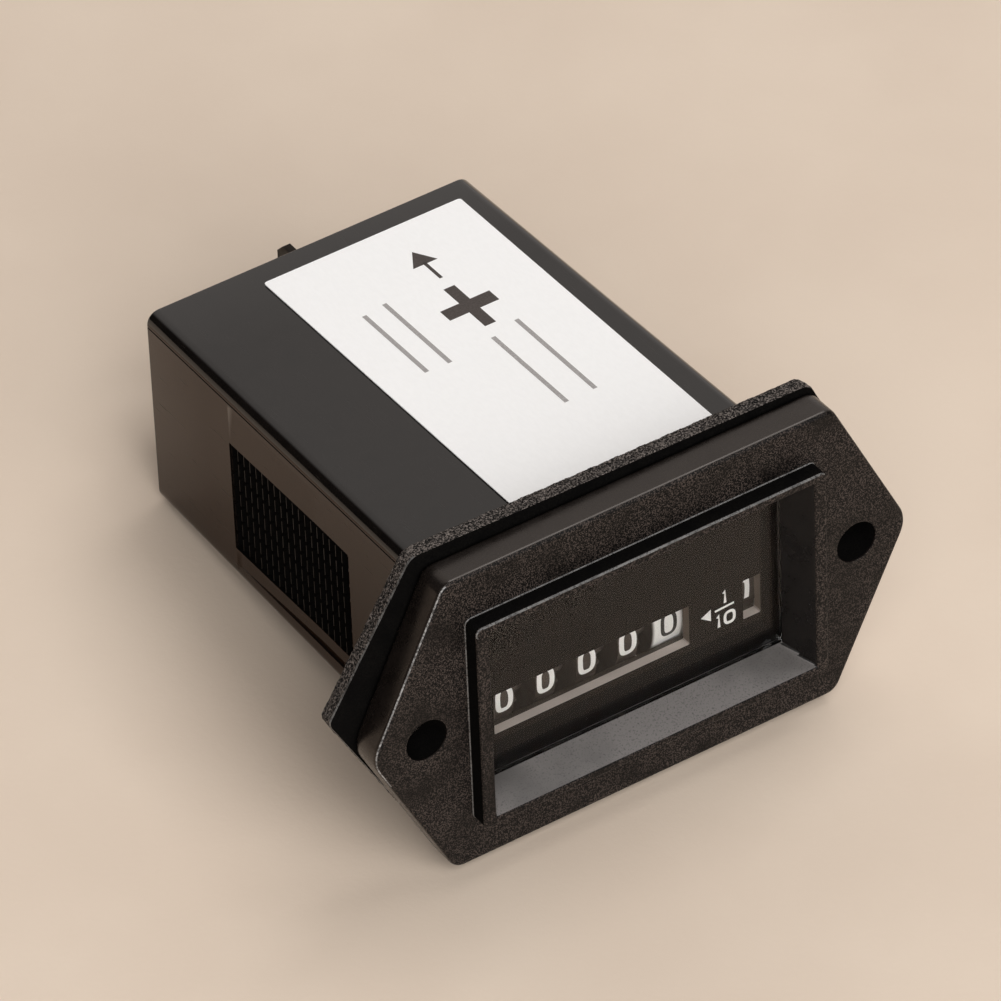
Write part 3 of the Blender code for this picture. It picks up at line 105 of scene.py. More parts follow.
def grid_faces(rows: int, columns: int, wrap_rows: bool, wrap_columns: bool) -> list[list[int]]:
    """Lists the quads of a grid of vertices, numbered row by row.

    Args:
        rows: How many rows of vertices there are.
        columns: How many vertices a row holds.
        wrap_rows: Whether the last row joins the first one.
        wrap_columns: Whether the last vertex of a row joins its first one.

    Returns:
        Four vertex numbers a quad.
    """
    row = np.arange(rows if wrap_rows else rows - 1)[:, None] * columns
    column = np.arange(columns if wrap_columns else columns - 1)
    next_row, next_column = (row + columns) % (rows * columns), (column + 1) % columns
    quads = [row + column, row + next_column, next_row + next_column, next_row + column]
    return np.stack(quads, -1).reshape(-1, 4).tolist()


def ring_stack(rings: np.ndarray, closed: bool = False) -> Shell:
    """Skins a stack of closed rings, and caps both ends where the stack isn't closed itself.

    Args:
        rings: Points as an array of rings by points by three coordinates.
        closed: Whether the last ring joins the first one, as on a torus.

    Returns:
        The closed surface.
    """
    rows, columns = rings.shape[:2]
    faces = grid_faces(rows, columns, closed, True)
    if not closed:
        faces.append(list(range(columns))[::-1])
        faces.append(list(range((rows - 1) * columns, rows * columns)))
    return Shell(rings.reshape(-1, 3), faces)


def new_object(name: str, data: bpy.types.ID) -> bpy.types.Object:
    """Adds an object to the scene.

    Args:
        name: The object's name.
        data: The mesh, lamp or camera that it holds.

    Returns:
        The object.
    """
    made = bpy.data.objects.new(name, data)
    bpy.context.scene.collection.objects.link(made)
    return made


def solid(name: str, shell: Shell) -> bpy.types.Object:
    """Makes an object with outward faces from a closed surface.

    Args:
        name: The object's name.
        shell: Its vertices and faces, in the maker's places.

    Returns:
        The object, in the frame's places.
    """
    mesh = bpy.data.meshes.new(name)
    mesh.from_pydata((shell.points + ORIGIN).tolist(), [], shell.faces)
    mesh.validate()
    shape = bmesh.new()
    shape.from_mesh(mesh)
    bmesh.ops.recalc_face_normals(shape, faces=shape.faces)
    shape.to_mesh(mesh)
    shape.free()
    return new_object(name, mesh)


def cut_out(piece: bpy.types.Object, tools: list[Shell]) -> None:
    """Cuts closed shapes out of a piece and keeps the result as its mesh.

    Args:
        piece: The piece to cut.
        tools: The shapes to take away, in the maker's places.
    """
    cutters = [solid("cutter", tool) for tool in tools]
    for cutter in cutters:
        step = piece.modifiers.new("Cut", "BOOLEAN")
        step.object, step.solver, step.operation = cutter, "MANIFOLD", "DIFFERENCE"
    graph = bpy.context.evaluated_depsgraph_get()
    mesh = bpy.data.meshes.new_from_object(piece.evaluated_get(graph))
    piece.modifiers.clear()
    piece.data = mesh
    for cutter in cutters:
        bpy.data.objects.remove(cutter)


def make_piece(name: str, shell: Shell, body: str, tools: list[Shell] | None = None) -> bpy.types.Object:
    """Makes a piece from a surface given in the maker's places.

    Args:
        name: The piece's name.
        shell: Its vertices and faces, in metres from the maker's zero point.
        body: The body of the frame that it rides on.
        tools: Shapes to cut out of it.

    Returns:
        The piece, with outward faces, in the frame's places.
    """
    made = solid(name, shell)
    if tools:
        cut_out(made, tools)
    made.data.shade_smooth()
    made.data.set_sharp_from_angle(angle=SHARP_ANGLE)
    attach(made, body)
    LOG.info("%s: %d faces on %s", name, len(made.data.polygons), body)
    return made


def face_places(mesh: bpy.types.Mesh) -> tuple[np.ndarray, np.ndarray]:
    """Reads where the faces of a mesh lie.

    Args:
        mesh: The mesh.

    Returns:
        The middle of each face in the maker's places, and its normal, each as three rows.
    """
    values = np.empty((2, len(mesh.polygons) * 3))
    mesh.polygons.foreach_get("center", values[0])
    mesh.polygons.foreach_get("normal", values[1])
    middle, normal = values.reshape(2, -1, 3)
    return (middle - ORIGIN).T, normal.T


def between(values: np.ndarray, low: float, high: float) -> np.ndarray:
    """Tells which values lie between two limits."""
    return (values > low) & (values < high)


def unit(vectors: np.ndarray) -> np.ndarray:
    """Returns vectors drawn to a length of one."""
    return vectors / np.linalg.norm(vectors, axis=1)[:, None]


def rounded_outline(corners: np.ndarray, radii: np.ndarray, steps: int = 10) -> np.ndarray:
    """Rounds the corners of a convex outline.

    Each corner becomes an arc about the point that lies radius / sin(half the corner's angle)
    along the corner's bisector.

    Args:
        corners: The corners in order, as an array of two coordinates each.
        radii: The radius of each corner.
        steps: How many pieces each arc has.

    Returns:
        The points of the closed outline.
    """
    before, after = unit(np.roll(corners, 1, 0) - corners), unit(np.roll(corners, -1, 0) - corners)
    half = np.arccos(np.clip((before * after).sum(1), -1, 1)) / 2
    centre = corners + unit(before + after) * (radii / np.sin(half))[:, None]
    reach = (radii / np.tan(half))[:, None]
    first, last = corners + before * reach - centre, corners + after * reach - centre
    start = np.arctan2(first[:, 1], first[:, 0])
    sweep = np.arctan2(last[:, 1], last[:, 0]) - start
    sweep = (sweep + np.pi) % (2 * np.pi) - np.pi
    angle = start[:, None] + sweep[:, None] * np.linspace(0, 1, steps + 1)
    arc = np.stack([np.cos(angle), np.sin(angle)], -1) * radii[:, None, None]
    return (centre[:, None, :] + arc).reshape(-1, 2)


def rectangle(half_x: float, half_z: float, radius: float, steps: int = 8) -> np.ndarray:
    """Returns the points of a rounded rectangle about the middle, counterclockwise."""
    corners = np.array(((1, 1), (-1, 1), (-1, -1), (1, -1))) * (half_x, half_z)
    return rounded_outline(corners, np.full(4, radius), steps)


def rounded_block(low: np.ndarray, high: np.ndarray, radius: float, steps: int) -> Shell:
    """Builds a block whose section across y is a rounded rectangle.

    Args:
        low: Its lowest corner.
        high: Its highest corner.
        radius: The radius of its edges along y.
        steps: How many pieces each rounding has.

    Returns:
        The closed surface.
    """
    half = (high - low) / 2
    outline = rectangle(half[0], half[2], radius, steps)
    rings = np.empty((2, len(outline), 3))
    rings[..., ::2] = outline + ((low + high) / 2)[::2]
    rings[..., 1] = np.array(((low[1],), (high[1],)))
    return ring_stack(rings)


def polar_radius(outline: np.ndarray, angles: np.ndarray) -> np.ndarray:
    """Measures a star-shaped outline along rays from the middle.

    The outline's sides are first divided finely, so that reading between two neighbouring
    points stays on the side.

    Args:
        outline: The points of the closed outline.
        angles: The directions of the rays, in radians.

    Returns:
        The distance from the middle to the outline along each ray.
    """
    share = np.linspace(0, 1, 160, endpoint=False)[None, :, None]
    fine = outline[:, None, :] * (1 - share) + np.roll(outline, -1, 0)[:, None, :] * share
    x, z = fine.reshape(-1, 2).T
    turn = np.arctan2(z, x)
    order = np.argsort(turn)
    return np.interp(angles, turn[order], np.hypot(x, z)[order], period=2 * np.pi)


def along_rays(radius: np.ndarray, angles: np.ndarray, depth: np.ndarray | float) -> np.ndarray:
    """Returns points at a distance from the middle along rays, each at its depth."""
    spread = np.broadcast_arrays(radius * np.cos(angles), depth, radius * np.sin(angles))
    return np.stack(spread, -1)


def turned_shape(
    profile: np.ndarray, axis: int, centre: Colour, sides: int = 32, closed: bool = False
) -> Shell:
    """Turns a profile about an axis: each point's radius sweeps a circle at its height.

    Args:
        profile: Radius and height of each point, from end to end of the outer side.
        axis: 0, 1 or 2 for an axis along x, y or z.
        centre: A point on the axis, from which heights are counted.
        sides: How many sides the circle has.
        closed: Whether the profile's last point joins its first one, as on a ring.

    Returns:
        The closed surface.
    """
    turn = np.linspace(0, 2 * np.pi, sides, endpoint=False)
    radius, height = profile.T[:, :, None]
    spread = np.broadcast_arrays(height, radius * np.cos(turn), radius * np.sin(turn))
    return ring_stack(np.roll(np.stack(spread, -1), axis, -1) + np.array(centre), closed)


# Shader helpers


class Graph:
    """Writes the shader nodes of one material or of the world."""

    def __init__(self, owner: bpy.types.Material | bpy.types.World, shader: str) -> None:
        """Opens the nodes of a material or a world.

        Args:
            owner: The material or the world.
            shader: The name of the shader node that it starts with.
        """
        owner.use_nodes = True
        self.tree = owner.node_tree
        self.shader = self.tree.nodes[shader]
        self.coordinates = self.node("ShaderNodeTexCoord").outputs
        self.place = self.coordinates["Object"]

    def node(self, kind: str, **values: object) -> bpy.types.Node:
        """Adds a node.

        Args:
            kind: The node's type.
            values: Properties of the node, or inputs by their name with a leading capital.

        Returns:
            The new node.
        """
        made = self.tree.nodes.new(kind)
        for key, value in values.items():
            if key[0].isupper():
                self.put(made.inputs[key.replace("_", " ")], value)
            else:
                setattr(made, key, value)
        return made

    def put(self, target: Socket, value: object) -> None:
        """Links a socket to an input, or writes a plain value on it.

        Args:
            target: The input.
            value: The socket or the plain value.
        """
        if isinstance(value, bpy.types.NodeSocket):
            self.tree.links.new(value, target)
        elif isinstance(value, tuple) and target.type == "RGBA":
            target.default_value = (*value, 1.0)
        else:
            target.default_value = value

    def set(self, **values: object) -> None:
        """Sets or links the shader's inputs, with _ for a space in their names."""
        for key, value in values.items():
            self.put(self.shader.inputs[key.replace("_", " ")], value)

    def noise(
        self, size: float, detail: float = 3.0, stretch: Colour = (1, 1, 1), warp: float = 0.0
    ) -> Socket:
        """Adds cloudy noise.

        Args:
            size: The size of its features, in metres.
            detail: How many finer layers it has.
            stretch: How much denser it is along each axis.
            warp: How much it is bent.

        Returns:
            Its value, from 0 to 1.
        """
        place = self.node("ShaderNodeMapping", Scale=stretch, Vector=self.place).outputs["Vector"]
        made = self.node("ShaderNodeTexNoise", Scale=1 / size, Detail=detail, Distortion=warp, Vector=place)
        return made.outputs["Fac"]

    def cells(self, size: float, feature: str = "SMOOTH_F1", distance: str = "EUCLIDEAN") -> Socket:
        """Adds cells.

        Args:
            size: The distance between neighbouring cells, in metres.
            feature: Whether their walls are smooth or sharp, in the node's own words.
            distance: How distances are counted, in the node's own words.

        Returns:
            The distance from the nearest cell's middle.
        """
        made = self.node("ShaderNodeTexVoronoi", feature=feature, distance=distance, Scale=1 / size)
        self.put(made.inputs["Vector"], self.place)
        if feature == "SMOOTH_F1":
            made.inputs["Smoothness"].default_value = 0.25
        return made.outputs["Distance"]

    def axis(self, vector: Socket, name: str) -> Socket:
        """Returns one coordinate of a vector."""
        return self.node("ShaderNodeSeparateXYZ", Vector=vector).outputs[name]

    def span(
        self, value: Socket, near: float = 0.3, far: float = 0.7, low: float = 0.0, high: float = 1.0
    ) -> Socket:
        """Spreads a value smoothly from one range over another, and holds it at the ends.

        Args:
            value: The value to spread.
            near: The value that becomes low.
            far: The value that becomes high.
            low: The result at near.
            high: The result at far.

        Returns:
            The result.
        """
        made = self.node("ShaderNodeMapRange", interpolation_type="SMOOTHSTEP", Value=value)
        for key, number in zip(("From Min", "From Max", "To Min", "To Max"), (near, far, low, high)):
            made.inputs[key].default_value = number
        return made.outputs["Result"]

    def cloudy(self, cloud: Socket, low: float, high: float) -> Socket:
        """Returns the middle of a noise's range spread over another range."""
        return self.span(cloud, low=low, high=high)

    def mix(self, share: Socket, first: Colour | Socket, second: Colour | Socket) -> Socket:
        """Mixes two colours.

        Args:
            share: How much of the second colour there is.
            first: The first colour.
            second: The second colour.

        Returns:
            The mixed colour.
        """
        made = self.node("ShaderNodeMix", data_type="RGBA", Factor=share)
        self.put(made.inputs[6], first)
        self.put(made.inputs[7], second)
        return made.outputs[2]

    def math(self, kind: str, first: Socket, second: Socket | float) -> Socket:
        """Works out one sum on two values.

        Args:
            kind: The kind of sum, in the node's own words.
            first: The first value.
            second: The second value.

        Returns:
            The result.
        """
        made = self.node("ShaderNodeMath", operation=kind)
        self.put(made.inputs[0], first)
        self.put(made.inputs[1], second)
        return made.outputs[0]

    def times(self, first: Socket, second: Socket | float) -> Socket:
        """Returns the product of two values."""
        return self.math("MULTIPLY", first, second)

    def bump(self, height: Socket, depth: float, under: Socket | None = None) -> Socket:
        """Raises a surface by a value.

        Args:
            height: The value, from 0 to 1.
            depth: The height that 1 stands for, in metres.
            under: The normal of a coarser bump below it.

        Returns:
            The new normal.
        """
        made = self.node("ShaderNodeBump", Distance=depth, Height=height)
        if under is not None:
            self.put(made.inputs["Normal"], under)
        return made.outputs["Normal"]


# Finishes


@dataclass(frozen=True)
class Finish:
    """A finish that is worked out from two tones."""

    colour: Colour
    other: Colour

    def draw(self, graph: Graph) -> None:
        """Draws the finish's nodes in the graph of a material."""
        raise NotImplementedError


@dataclass(frozen=True)
class MouldedPlastic(Finish):
    """Moulded plastic: a mottled colour, a fine grain and a slight waviness."""

    roughness: Pair = (0.35, 0.5)
    grain: float = 0.12 * MM
    grain_depth: float = 0.006 * MM
    wave_depth: float = 0.01 * MM
    mottle: float = 2.0 * MM
    speckle: Pair = (0.3, 0.7)
    scratches: float = 0.0
    specular: float = 0.5
    tint: Colour = (1.0, 1.0, 1.0)

    def draw(self, graph: Graph) -> None:
        """Draws the grain over the waves, and the scratches where there are any.

        Args:
            graph: The material's graph.
        """
        cloud, speck = graph.noise(self.mottle, 5.0), graph.noise(self.grain, 2.0)
        share = graph.times(graph.span(speck, *self.speckle), graph.span(cloud, 0.2, 0.6))
        rough = graph.cloudy(cloud, *self.roughness)
        if self.scratches:
            hair = graph.span(graph.noise(0.25 * MM, 2.0, (1.0, 0.05, 1.0), 0.6), 0.66, 0.72)
            rough = graph.math("ADD", rough, graph.times(hair, self.scratches))
        waves = graph.bump(graph.noise(6 * self.mottle, 2.0), self.wave_depth)
        graph.set(Base_Color=graph.mix(share, self.colour, self.other), Roughness=rough)
        graph.set(Normal=graph.bump(speck, self.grain_depth, waves))
        graph.set(Specular_IOR_Level=self.specular, Specular_Tint=self.tint)


@dataclass(frozen=True)
class PrintedPlate(Finish):
    """A pale plastic plate whose front face is printed dark."""

    core: Colour
    # end: the core's painted shade colour where it faces left
    end: Colour
    front: float

    def draw(self, graph: Graph) -> None:
        """Draws the ink, which ends a hair behind the front face.

        The core is painted darker where it faces left, on the right-hand end of each window, as
        painted shade.

        Args:
            graph: The material's graph.
        """
        depth = graph.axis(graph.place, "Y")
        behind = graph.span(depth, self.front + 0.02 * MM, self.front + 0.05 * MM)
        wipe = graph.noise(1.2 * MM, 3.0, (1.0, 1.0, 0.3), 0.8)
        ink = graph.mix(graph.span(wipe, 0.35, 0.7), self.colour, self.other)
        # painted shade: the core turns to the end colour on faces that turn left, away from the light
        facing = graph.axis(graph.node("ShaderNodeNewGeometry").outputs["Normal"], "X")
        core = graph.mix(graph.span(facing, -0.9, -0.5, 1.0, 0.0), self.core, self.end)
        graph.set(Base_Color=graph.mix(behind, ink, core), Normal=graph.bump(wipe, 0.004 * MM))
        graph.set(Roughness=graph.cloudy(wipe, 0.5, 0.65), Specular_IOR_Level=0.08)


@dataclass(frozen=True)
class CutFoam(Finish):
    """Cut rubber foam with open pores of two sizes."""

    pore: float = 0.2 * MM
    depth: float = 0.12 * MM

    def draw(self, graph: Graph) -> None:
        """Draws coarse and fine pores, with pale crumbs on the walls between them.

        Args:
            graph: The material's graph.
        """
        wall = graph.span(graph.cells(self.pore), 0.15, 0.8)
        fine = graph.span(graph.cells(self.pore / 2), 0.15, 0.75)
        height = graph.math("ADD", graph.times(wall, 0.55), graph.times(fine, 0.45))
        crumb = graph.span(graph.noise(self.pore, 4.0), 0.35, 0.65)
        share = graph.times(graph.span(height, 0.25, 0.8), crumb)
        graph.set(Base_Color=graph.mix(share, self.colour, self.other), Roughness=0.92)
        graph.set(Specular_IOR_Level=0.2, Normal=graph.bump(height, self.depth))


@dataclass(frozen=True)
class CoatedPaper(Finish):
    """White coated paper with faint fibres."""

    def draw(self, graph: Graph) -> None:
        """Draws the fibres over a soft unevenness.

        Args:
            graph: The material's graph.
        """
        fibre = graph.noise(0.3 * MM, 4.0, (1.0, 0.35, 1.0), 0.4)
        cloud = graph.noise(6 * MM, 2.0)
        normal = graph.bump(fibre, 0.001 * MM, graph.bump(cloud, 0.01 * MM))
        graph.set(Base_Color=graph.mix(graph.span(fibre), self.other, self.colour), Normal=normal)
        graph.set(Roughness=graph.cloudy(cloud, 0.42, 0.55))


@dataclass(frozen=True)
class ClearPlastic(Finish):
    """Clear polished plastic with hair scratches."""

    def draw(self, graph: Graph) -> None:
        """Draws the scratches over a slight waviness.

        Args:
            graph: The material's graph.
        """
        hair = graph.span(graph.noise(0.2 * MM, 2.0, (1.0, 1.0, 0.06), 0.8), 0.68, 0.74)
        wave = graph.bump(graph.noise(9 * MM, 1.0), 0.004 * MM)
        graph.set(Base_Color=graph.mix(hair, self.colour, self.other), Normal=wave)
        graph.set(Roughness=graph.span(hair, 0.0, 1.0, 0.0, 0.1), Transmission_Weight=1.0)
        # the near-black specular tint darkens the lens's reflections: painted shade on what it mirrors
        graph.set(IOR=1.49, Specular_Tint=(0.02, 0.018, 0.015))


@dataclass(frozen=True)
class WorkedMetal(Finish):
    """Drawn or rolled metal: fine streaks along its length and a patchy dullness."""

    roughness: Pair = (0.22, 0.42)
    streak: Colour = (0.05, 1.0, 1.0)

    def draw(self, graph: Graph) -> None:
        """Draws the streaks and the dull patches.

        Args:
            graph: The material's graph.
        """
        patch = graph.noise(1.5 * MM, 4.0, warp=0.5)
        normal = graph.bump(graph.noise(0.06 * MM, 2.0, self.streak), 0.002 * MM)
        colour = graph.mix(graph.span(patch, 0.35, 0.75), self.colour, self.other)
        graph.set(Base_Color=colour, Metallic=1.0, Normal=normal)
        graph.set(Roughness=graph.cloudy(patch, *self.roughness))


@dataclass(frozen=True)
class SolderMask(Finish):
    """A circuit board's green lacquer over copper tracks."""

    pitch: float = 2.4 * MM

    def draw(self, graph: Graph) -> None:
        """Draws the tracks under the lacquer.

        Args:
            graph: The material's graph.
        """
        lines = graph.span(graph.cells(self.pitch, "F1", "MANHATTAN"), 0.42, 0.5)
        graph.set(Base_Color=graph.mix(lines, self.colour, self.other))
        graph.set(Roughness=graph.cloudy(graph.noise(1.0 * MM), 0.25, 0.4))
        graph.set(Normal=graph.bump(lines, 0.03 * MM))


@dataclass(frozen=True)
class PrintedInk(Finish):
    """Screen-printed ink with a slightly uneven cover."""

    def draw(self, graph: Graph) -> None:
        """Draws the uneven cover.

        Args:
            graph: The material's graph.
        """
        cover = graph.noise(0.12 * MM, 4.0)
        graph.set(Base_Color=graph.mix(graph.span(cover, 0.25, 0.6), self.other, self.colour))
        graph.set(Roughness=graph.cloudy(cover, 0.4, 0.6), Normal=graph.bump(cover, 0.004 * MM))


@dataclass(frozen=True)
class FadedBand(Finish):
    """A white printed band that thins out towards both ends along x."""

    ends: Pair
    fade: Pair

    def draw(self, graph: Graph) -> None:
        """Draws the print between the band's ends, over the drum's colour.

        Args:
            graph: The material's graph.
        """
        across = graph.math("SUBTRACT", graph.axis(graph.place, "X"), float(ORIGIN[0]))
        left = graph.span(across, self.ends[0], self.ends[0] + self.fade[0])
        right = graph.span(across, self.ends[1] - self.fade[1], self.ends[1], 1.0, 0.0)
        cover = graph.noise(0.3 * MM)
        share = graph.times(graph.times(left, right), graph.span(cover, 0.0, 0.4))
        graph.set(Base_Color=graph.mix(share, self.other, self.colour))
        graph.set(Roughness=graph.cloudy(cover, 0.35, 0.5), Normal=graph.bump(cover, 0.004 * MM))


@dataclass(frozen=True)
class StudioSheet(Finish):
    """The plain pale sheet that the meter stands on."""

    def draw(self, graph: Graph) -> None:
        """Draws a soft unevenness.

        Args:
            graph: The material's graph.
        """
        cloud = graph.span(graph.noise(30 * MM, 4.0))
        graph.set(Base_Color=graph.mix(cloud, self.other, self.colour))
        graph.set(Roughness=0.75, Normal=graph.bump(graph.noise(0.6 * MM), 0.02 * MM))


class Look(enum.Enum):
    """The finishes of the meter's pieces, each named as its material."""

    GRAINED_BLACK = MouldedPlastic(
        (0.0015, 0.001, 0.0008), (0.06, 0.046, 0.039), (0.45, 0.6), grain=0.13 * MM,
        grain_depth=0.03 * MM, mottle=5.0 * MM, speckle=(0.47, 0.64), specular=0.15,
    )
    # painted highlight: paler grey on the flange's rounding at the upper left, where it faces the light
    PAINTED_FLANGE_HIGHLIGHT = MouldedPlastic(
        (0.05, 0.047, 0.045), (0.32, 0.31, 0.3), (0.4, 0.5), grain=0.2 * MM,
        grain_depth=0.01 * MM, speckle=(0.35, 0.6),
    )
    SMOOTH_BLACK = MouldedPlastic(
        (0.004, 0.003, 0.0027), (0.01, 0.008, 0.007), (0.25, 0.34), grain_depth=0.003 * MM,
        wave_depth=0.004 * MM, specular=0.35,
    )
    # painted shade: near-black matte on the frame's outer walls, the screw holes, the rib flanks and the
    # gasket's front face
    PAINTED_SHADE_BLACK = MouldedPlastic(
        (0.0012, 0.001, 0.001), (0.004, 0.0035, 0.003), (0.8, 0.95), specular=0.05
    )
    SATIN_BLACK = MouldedPlastic(
        (0.003, 0.0021, 0.0017), (0.007, 0.0051, 0.0043), (0.05, 0.1), grain=0.1 * MM,
        grain_depth=0.0012 * MM, wave_depth=0.02 * MM, scratches=0.25, specular=0.52,
    )
    # the case's sides: a brown tone of their own, and a brown specular tint as a painted reflection of wood
    SIDE_PAINTED_REFLECTION = MouldedPlastic(
        (0.016, 0.008, 0.004), (0.025, 0.013, 0.008), (0.05, 0.1), grain=0.1 * MM,
        grain_depth=0.0008 * MM, wave_depth=0.02 * MM, scratches=0.25, specular=0.15,
        tint=(1.0, 0.6, 0.4),
    )
    # painted shade: a dark, dull copy of the case plastic on the ribs' crests
    RIB_SHADE_BLACK = MouldedPlastic((0.007, 0.0045, 0.003), (0.013, 0.0085, 0.006), specular=0.1)
    # its warm specular tint colours its reflections: painted reflection
    FLANGE_SIDE = MouldedPlastic(
        (0.006, 0.0045, 0.0038), (0.014, 0.0105, 0.009), (0.22, 0.32), grain=0.13 * MM,
        grain_depth=0.004 * MM, speckle=(0.4, 0.7), specular=0.48, tint=(1.0, 0.9, 0.83),
    )
    # painted highlight: paler grey on the frame's rim and foot edges that face up or left, and on the
    # gasket's left front edge
    PAINTED_EDGE_HIGHLIGHT = MouldedPlastic(
        (0.02, 0.018, 0.017), (0.14, 0.135, 0.13), grain=0.2 * MM, grain_depth=0.01 * MM,
        speckle=(0.3, 0.55),
    )
    # a paler speckled grey on the window's upward-facing lower wall
    PALE_SPECKLED_GREY = MouldedPlastic(
        (0.068, 0.062, 0.058), (0.148, 0.134, 0.127), (0.45, 0.55), grain=0.16 * MM,
        grain_depth=0.004 * MM, mottle=9.0 * MM, speckle=(0.25, 0.5),
    )
    # its fourth colour is painted shade on the left-facing window ends
    DIAL_BLACK = PrintedPlate(
        (0.002, 0.0008, 0.0004), (0.005, 0.0024, 0.0014), (0.66, 0.58, 0.53), (0.16, 0.125, 0.1),
        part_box("dial_plate")[0][1],
    )
    DRUM_BAND = FadedBand(
        (0.9, 0.89, 0.87), (0.04, 0.029, 0.023), UNITS_BAND, (0.4 * MM, 0.9 * MM)
    )
    DRUM_BROWN = MouldedPlastic((0.032, 0.022, 0.017), (0.055, 0.04, 0.032), mottle=1.0 * MM)
    FRAME_GREY = MouldedPlastic((0.30, 0.30, 0.28), (0.38, 0.38, 0.36), (0.45, 0.6), mottle=1.5 * MM)
    GEAR_WHITE = MouldedPlastic(
        (0.70, 0.69, 0.63), (0.78, 0.77, 0.72), (0.32, 0.45), mottle=0.8 * MM, grain_depth=0.003 * MM
    )
    CHIP_BLACK = MouldedPlastic(
        (0.016, 0.016, 0.016), (0.035, 0.035, 0.035), (0.5, 0.65), mottle=0.6 * MM
    )
    MAGNET_BLACK = MouldedPlastic(
        (0.05, 0.05, 0.055), (0.09, 0.09, 0.095), (0.5, 0.7), mottle=0.5 * MM
    )
    RESISTOR_TAN = MouldedPlastic(
        (0.46, 0.33, 0.2), (0.55, 0.42, 0.28), (0.4, 0.55), mottle=0.6 * MM
    )
    SLEEVE_BLUE = MouldedPlastic(
        (0.018, 0.045, 0.15), (0.03, 0.07, 0.2), (0.25, 0.4), mottle=1.2 * MM
    )
    BLACK_FOAM = CutFoam((0.002, 0.0016, 0.0013), (0.2, 0.17, 0.152))
    LABEL_PAPER = CoatedPaper((0.92, 0.91, 0.9), (0.9, 0.89, 0.88))
    CLEAR_PLASTIC = ClearPlastic((0.98, 0.98, 0.97), (0.9, 0.9, 0.89))
    STEEL = WorkedMetal((0.62, 0.61, 0.6), (0.45, 0.44, 0.43))
    TINNED_BRASS = WorkedMetal((0.68, 0.66, 0.6), (0.5, 0.47, 0.4), streak=(1.0, 0.05, 1.0))
    # near-black metal on the blades
    DARK_BRASS = WorkedMetal((0.02, 0.016, 0.013), (0.01, 0.008, 0.007), (0.4, 0.55))
    COPPER_WINDING = WorkedMetal((0.62, 0.24, 0.1), (0.45, 0.15, 0.06), (0.25, 0.4))
    BOARD_GREEN = SolderMask((0.015, 0.11, 0.04), (0.03, 0.2, 0.08))
    INK_WHITE = PrintedInk((0.97, 0.96, 0.94), (0.92, 0.91, 0.89))
    INK_BLACK = PrintedInk((0.014, 0.013, 0.013), (0.03, 0.03, 0.03))
    INK_BROWN = PrintedInk((0.035, 0.025, 0.021), (0.05, 0.037, 0.031))
    INK_GREY = PrintedInk((0.3, 0.28, 0.27), (0.42, 0.4, 0.39))
    STUDIO_SHEET = StudioSheet((0.69, 0.57, 0.46), (0.65, 0.53, 0.425))


class Wardrobe:
    """Makes each finish once and puts it on pieces."""

    def __init__(self) -> None:
        """Starts with no material made."""
        self.made: dict[Look, bpy.types.Material] = {}

    def material(self, look: Look) -> bpy.types.Material:
        """Finds the material of a finish.

        Args:
            look: The finish.

        Returns:
            Its material, which is made where it is first asked for.
        """
        if look not in self.made:
            self.made[look] = bpy.data.materials.new(look.name.lower())
            look.value.draw(Graph(self.made[look], "Principled BSDF"))
        return self.made[look]

    def dress(self, piece: bpy.types.Object, slot: str | None, *looks: Look) -> None:
        """Puts finishes on a piece in place of what it wears.

        Args:
            piece: The piece or the frame's node.
            slot: The record's material slot that a new piece belongs to; it is not used.
            looks: The finishes, of which the first one covers every face.
        """
        piece.data.materials.clear()
        for look in looks:
            piece.data.materials.append(self.material(look))

    def dress_nodes(self, look: Look, names: str) -> None:
        """Puts a finish on nodes of the frame and welds their loose triangles together.

        Args:
            look: The finish.
            names: The nodes' names, with spaces between them.
        """
        for name in names.split():
            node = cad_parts[name]
            self.dress(node, None, look)
            node.modifiers.new("Weld", "WELD").merge_threshold = 0.001 * MM
            LOG.info("%s: %s", name, look.name.lower())


def sort_faces(piece: bpy.types.Object, zones: list[np.ndarray]) -> None:
    """Gives the faces of a piece its further finishes.

    Args:
        piece: The dressed piece.
        zones: Which faces wear the second finish, the third one and so on. A face that more
            than one of them names wears the finish that comes first.
    """
    numbers = np.select(zones, range(1, len(zones) + 1), 0)
    piece.data.polygons.foreach_set("material_index", numbers.astype(np.int32))


@dataclass
class Assembly:
    """A part of the scene that takes its finishes from the wardrobe."""

    wardrobe: Wardrobe

    def build(self) -> None:
        """Makes the assembly's pieces and dresses them."""
        raise NotImplementedError


# Housing


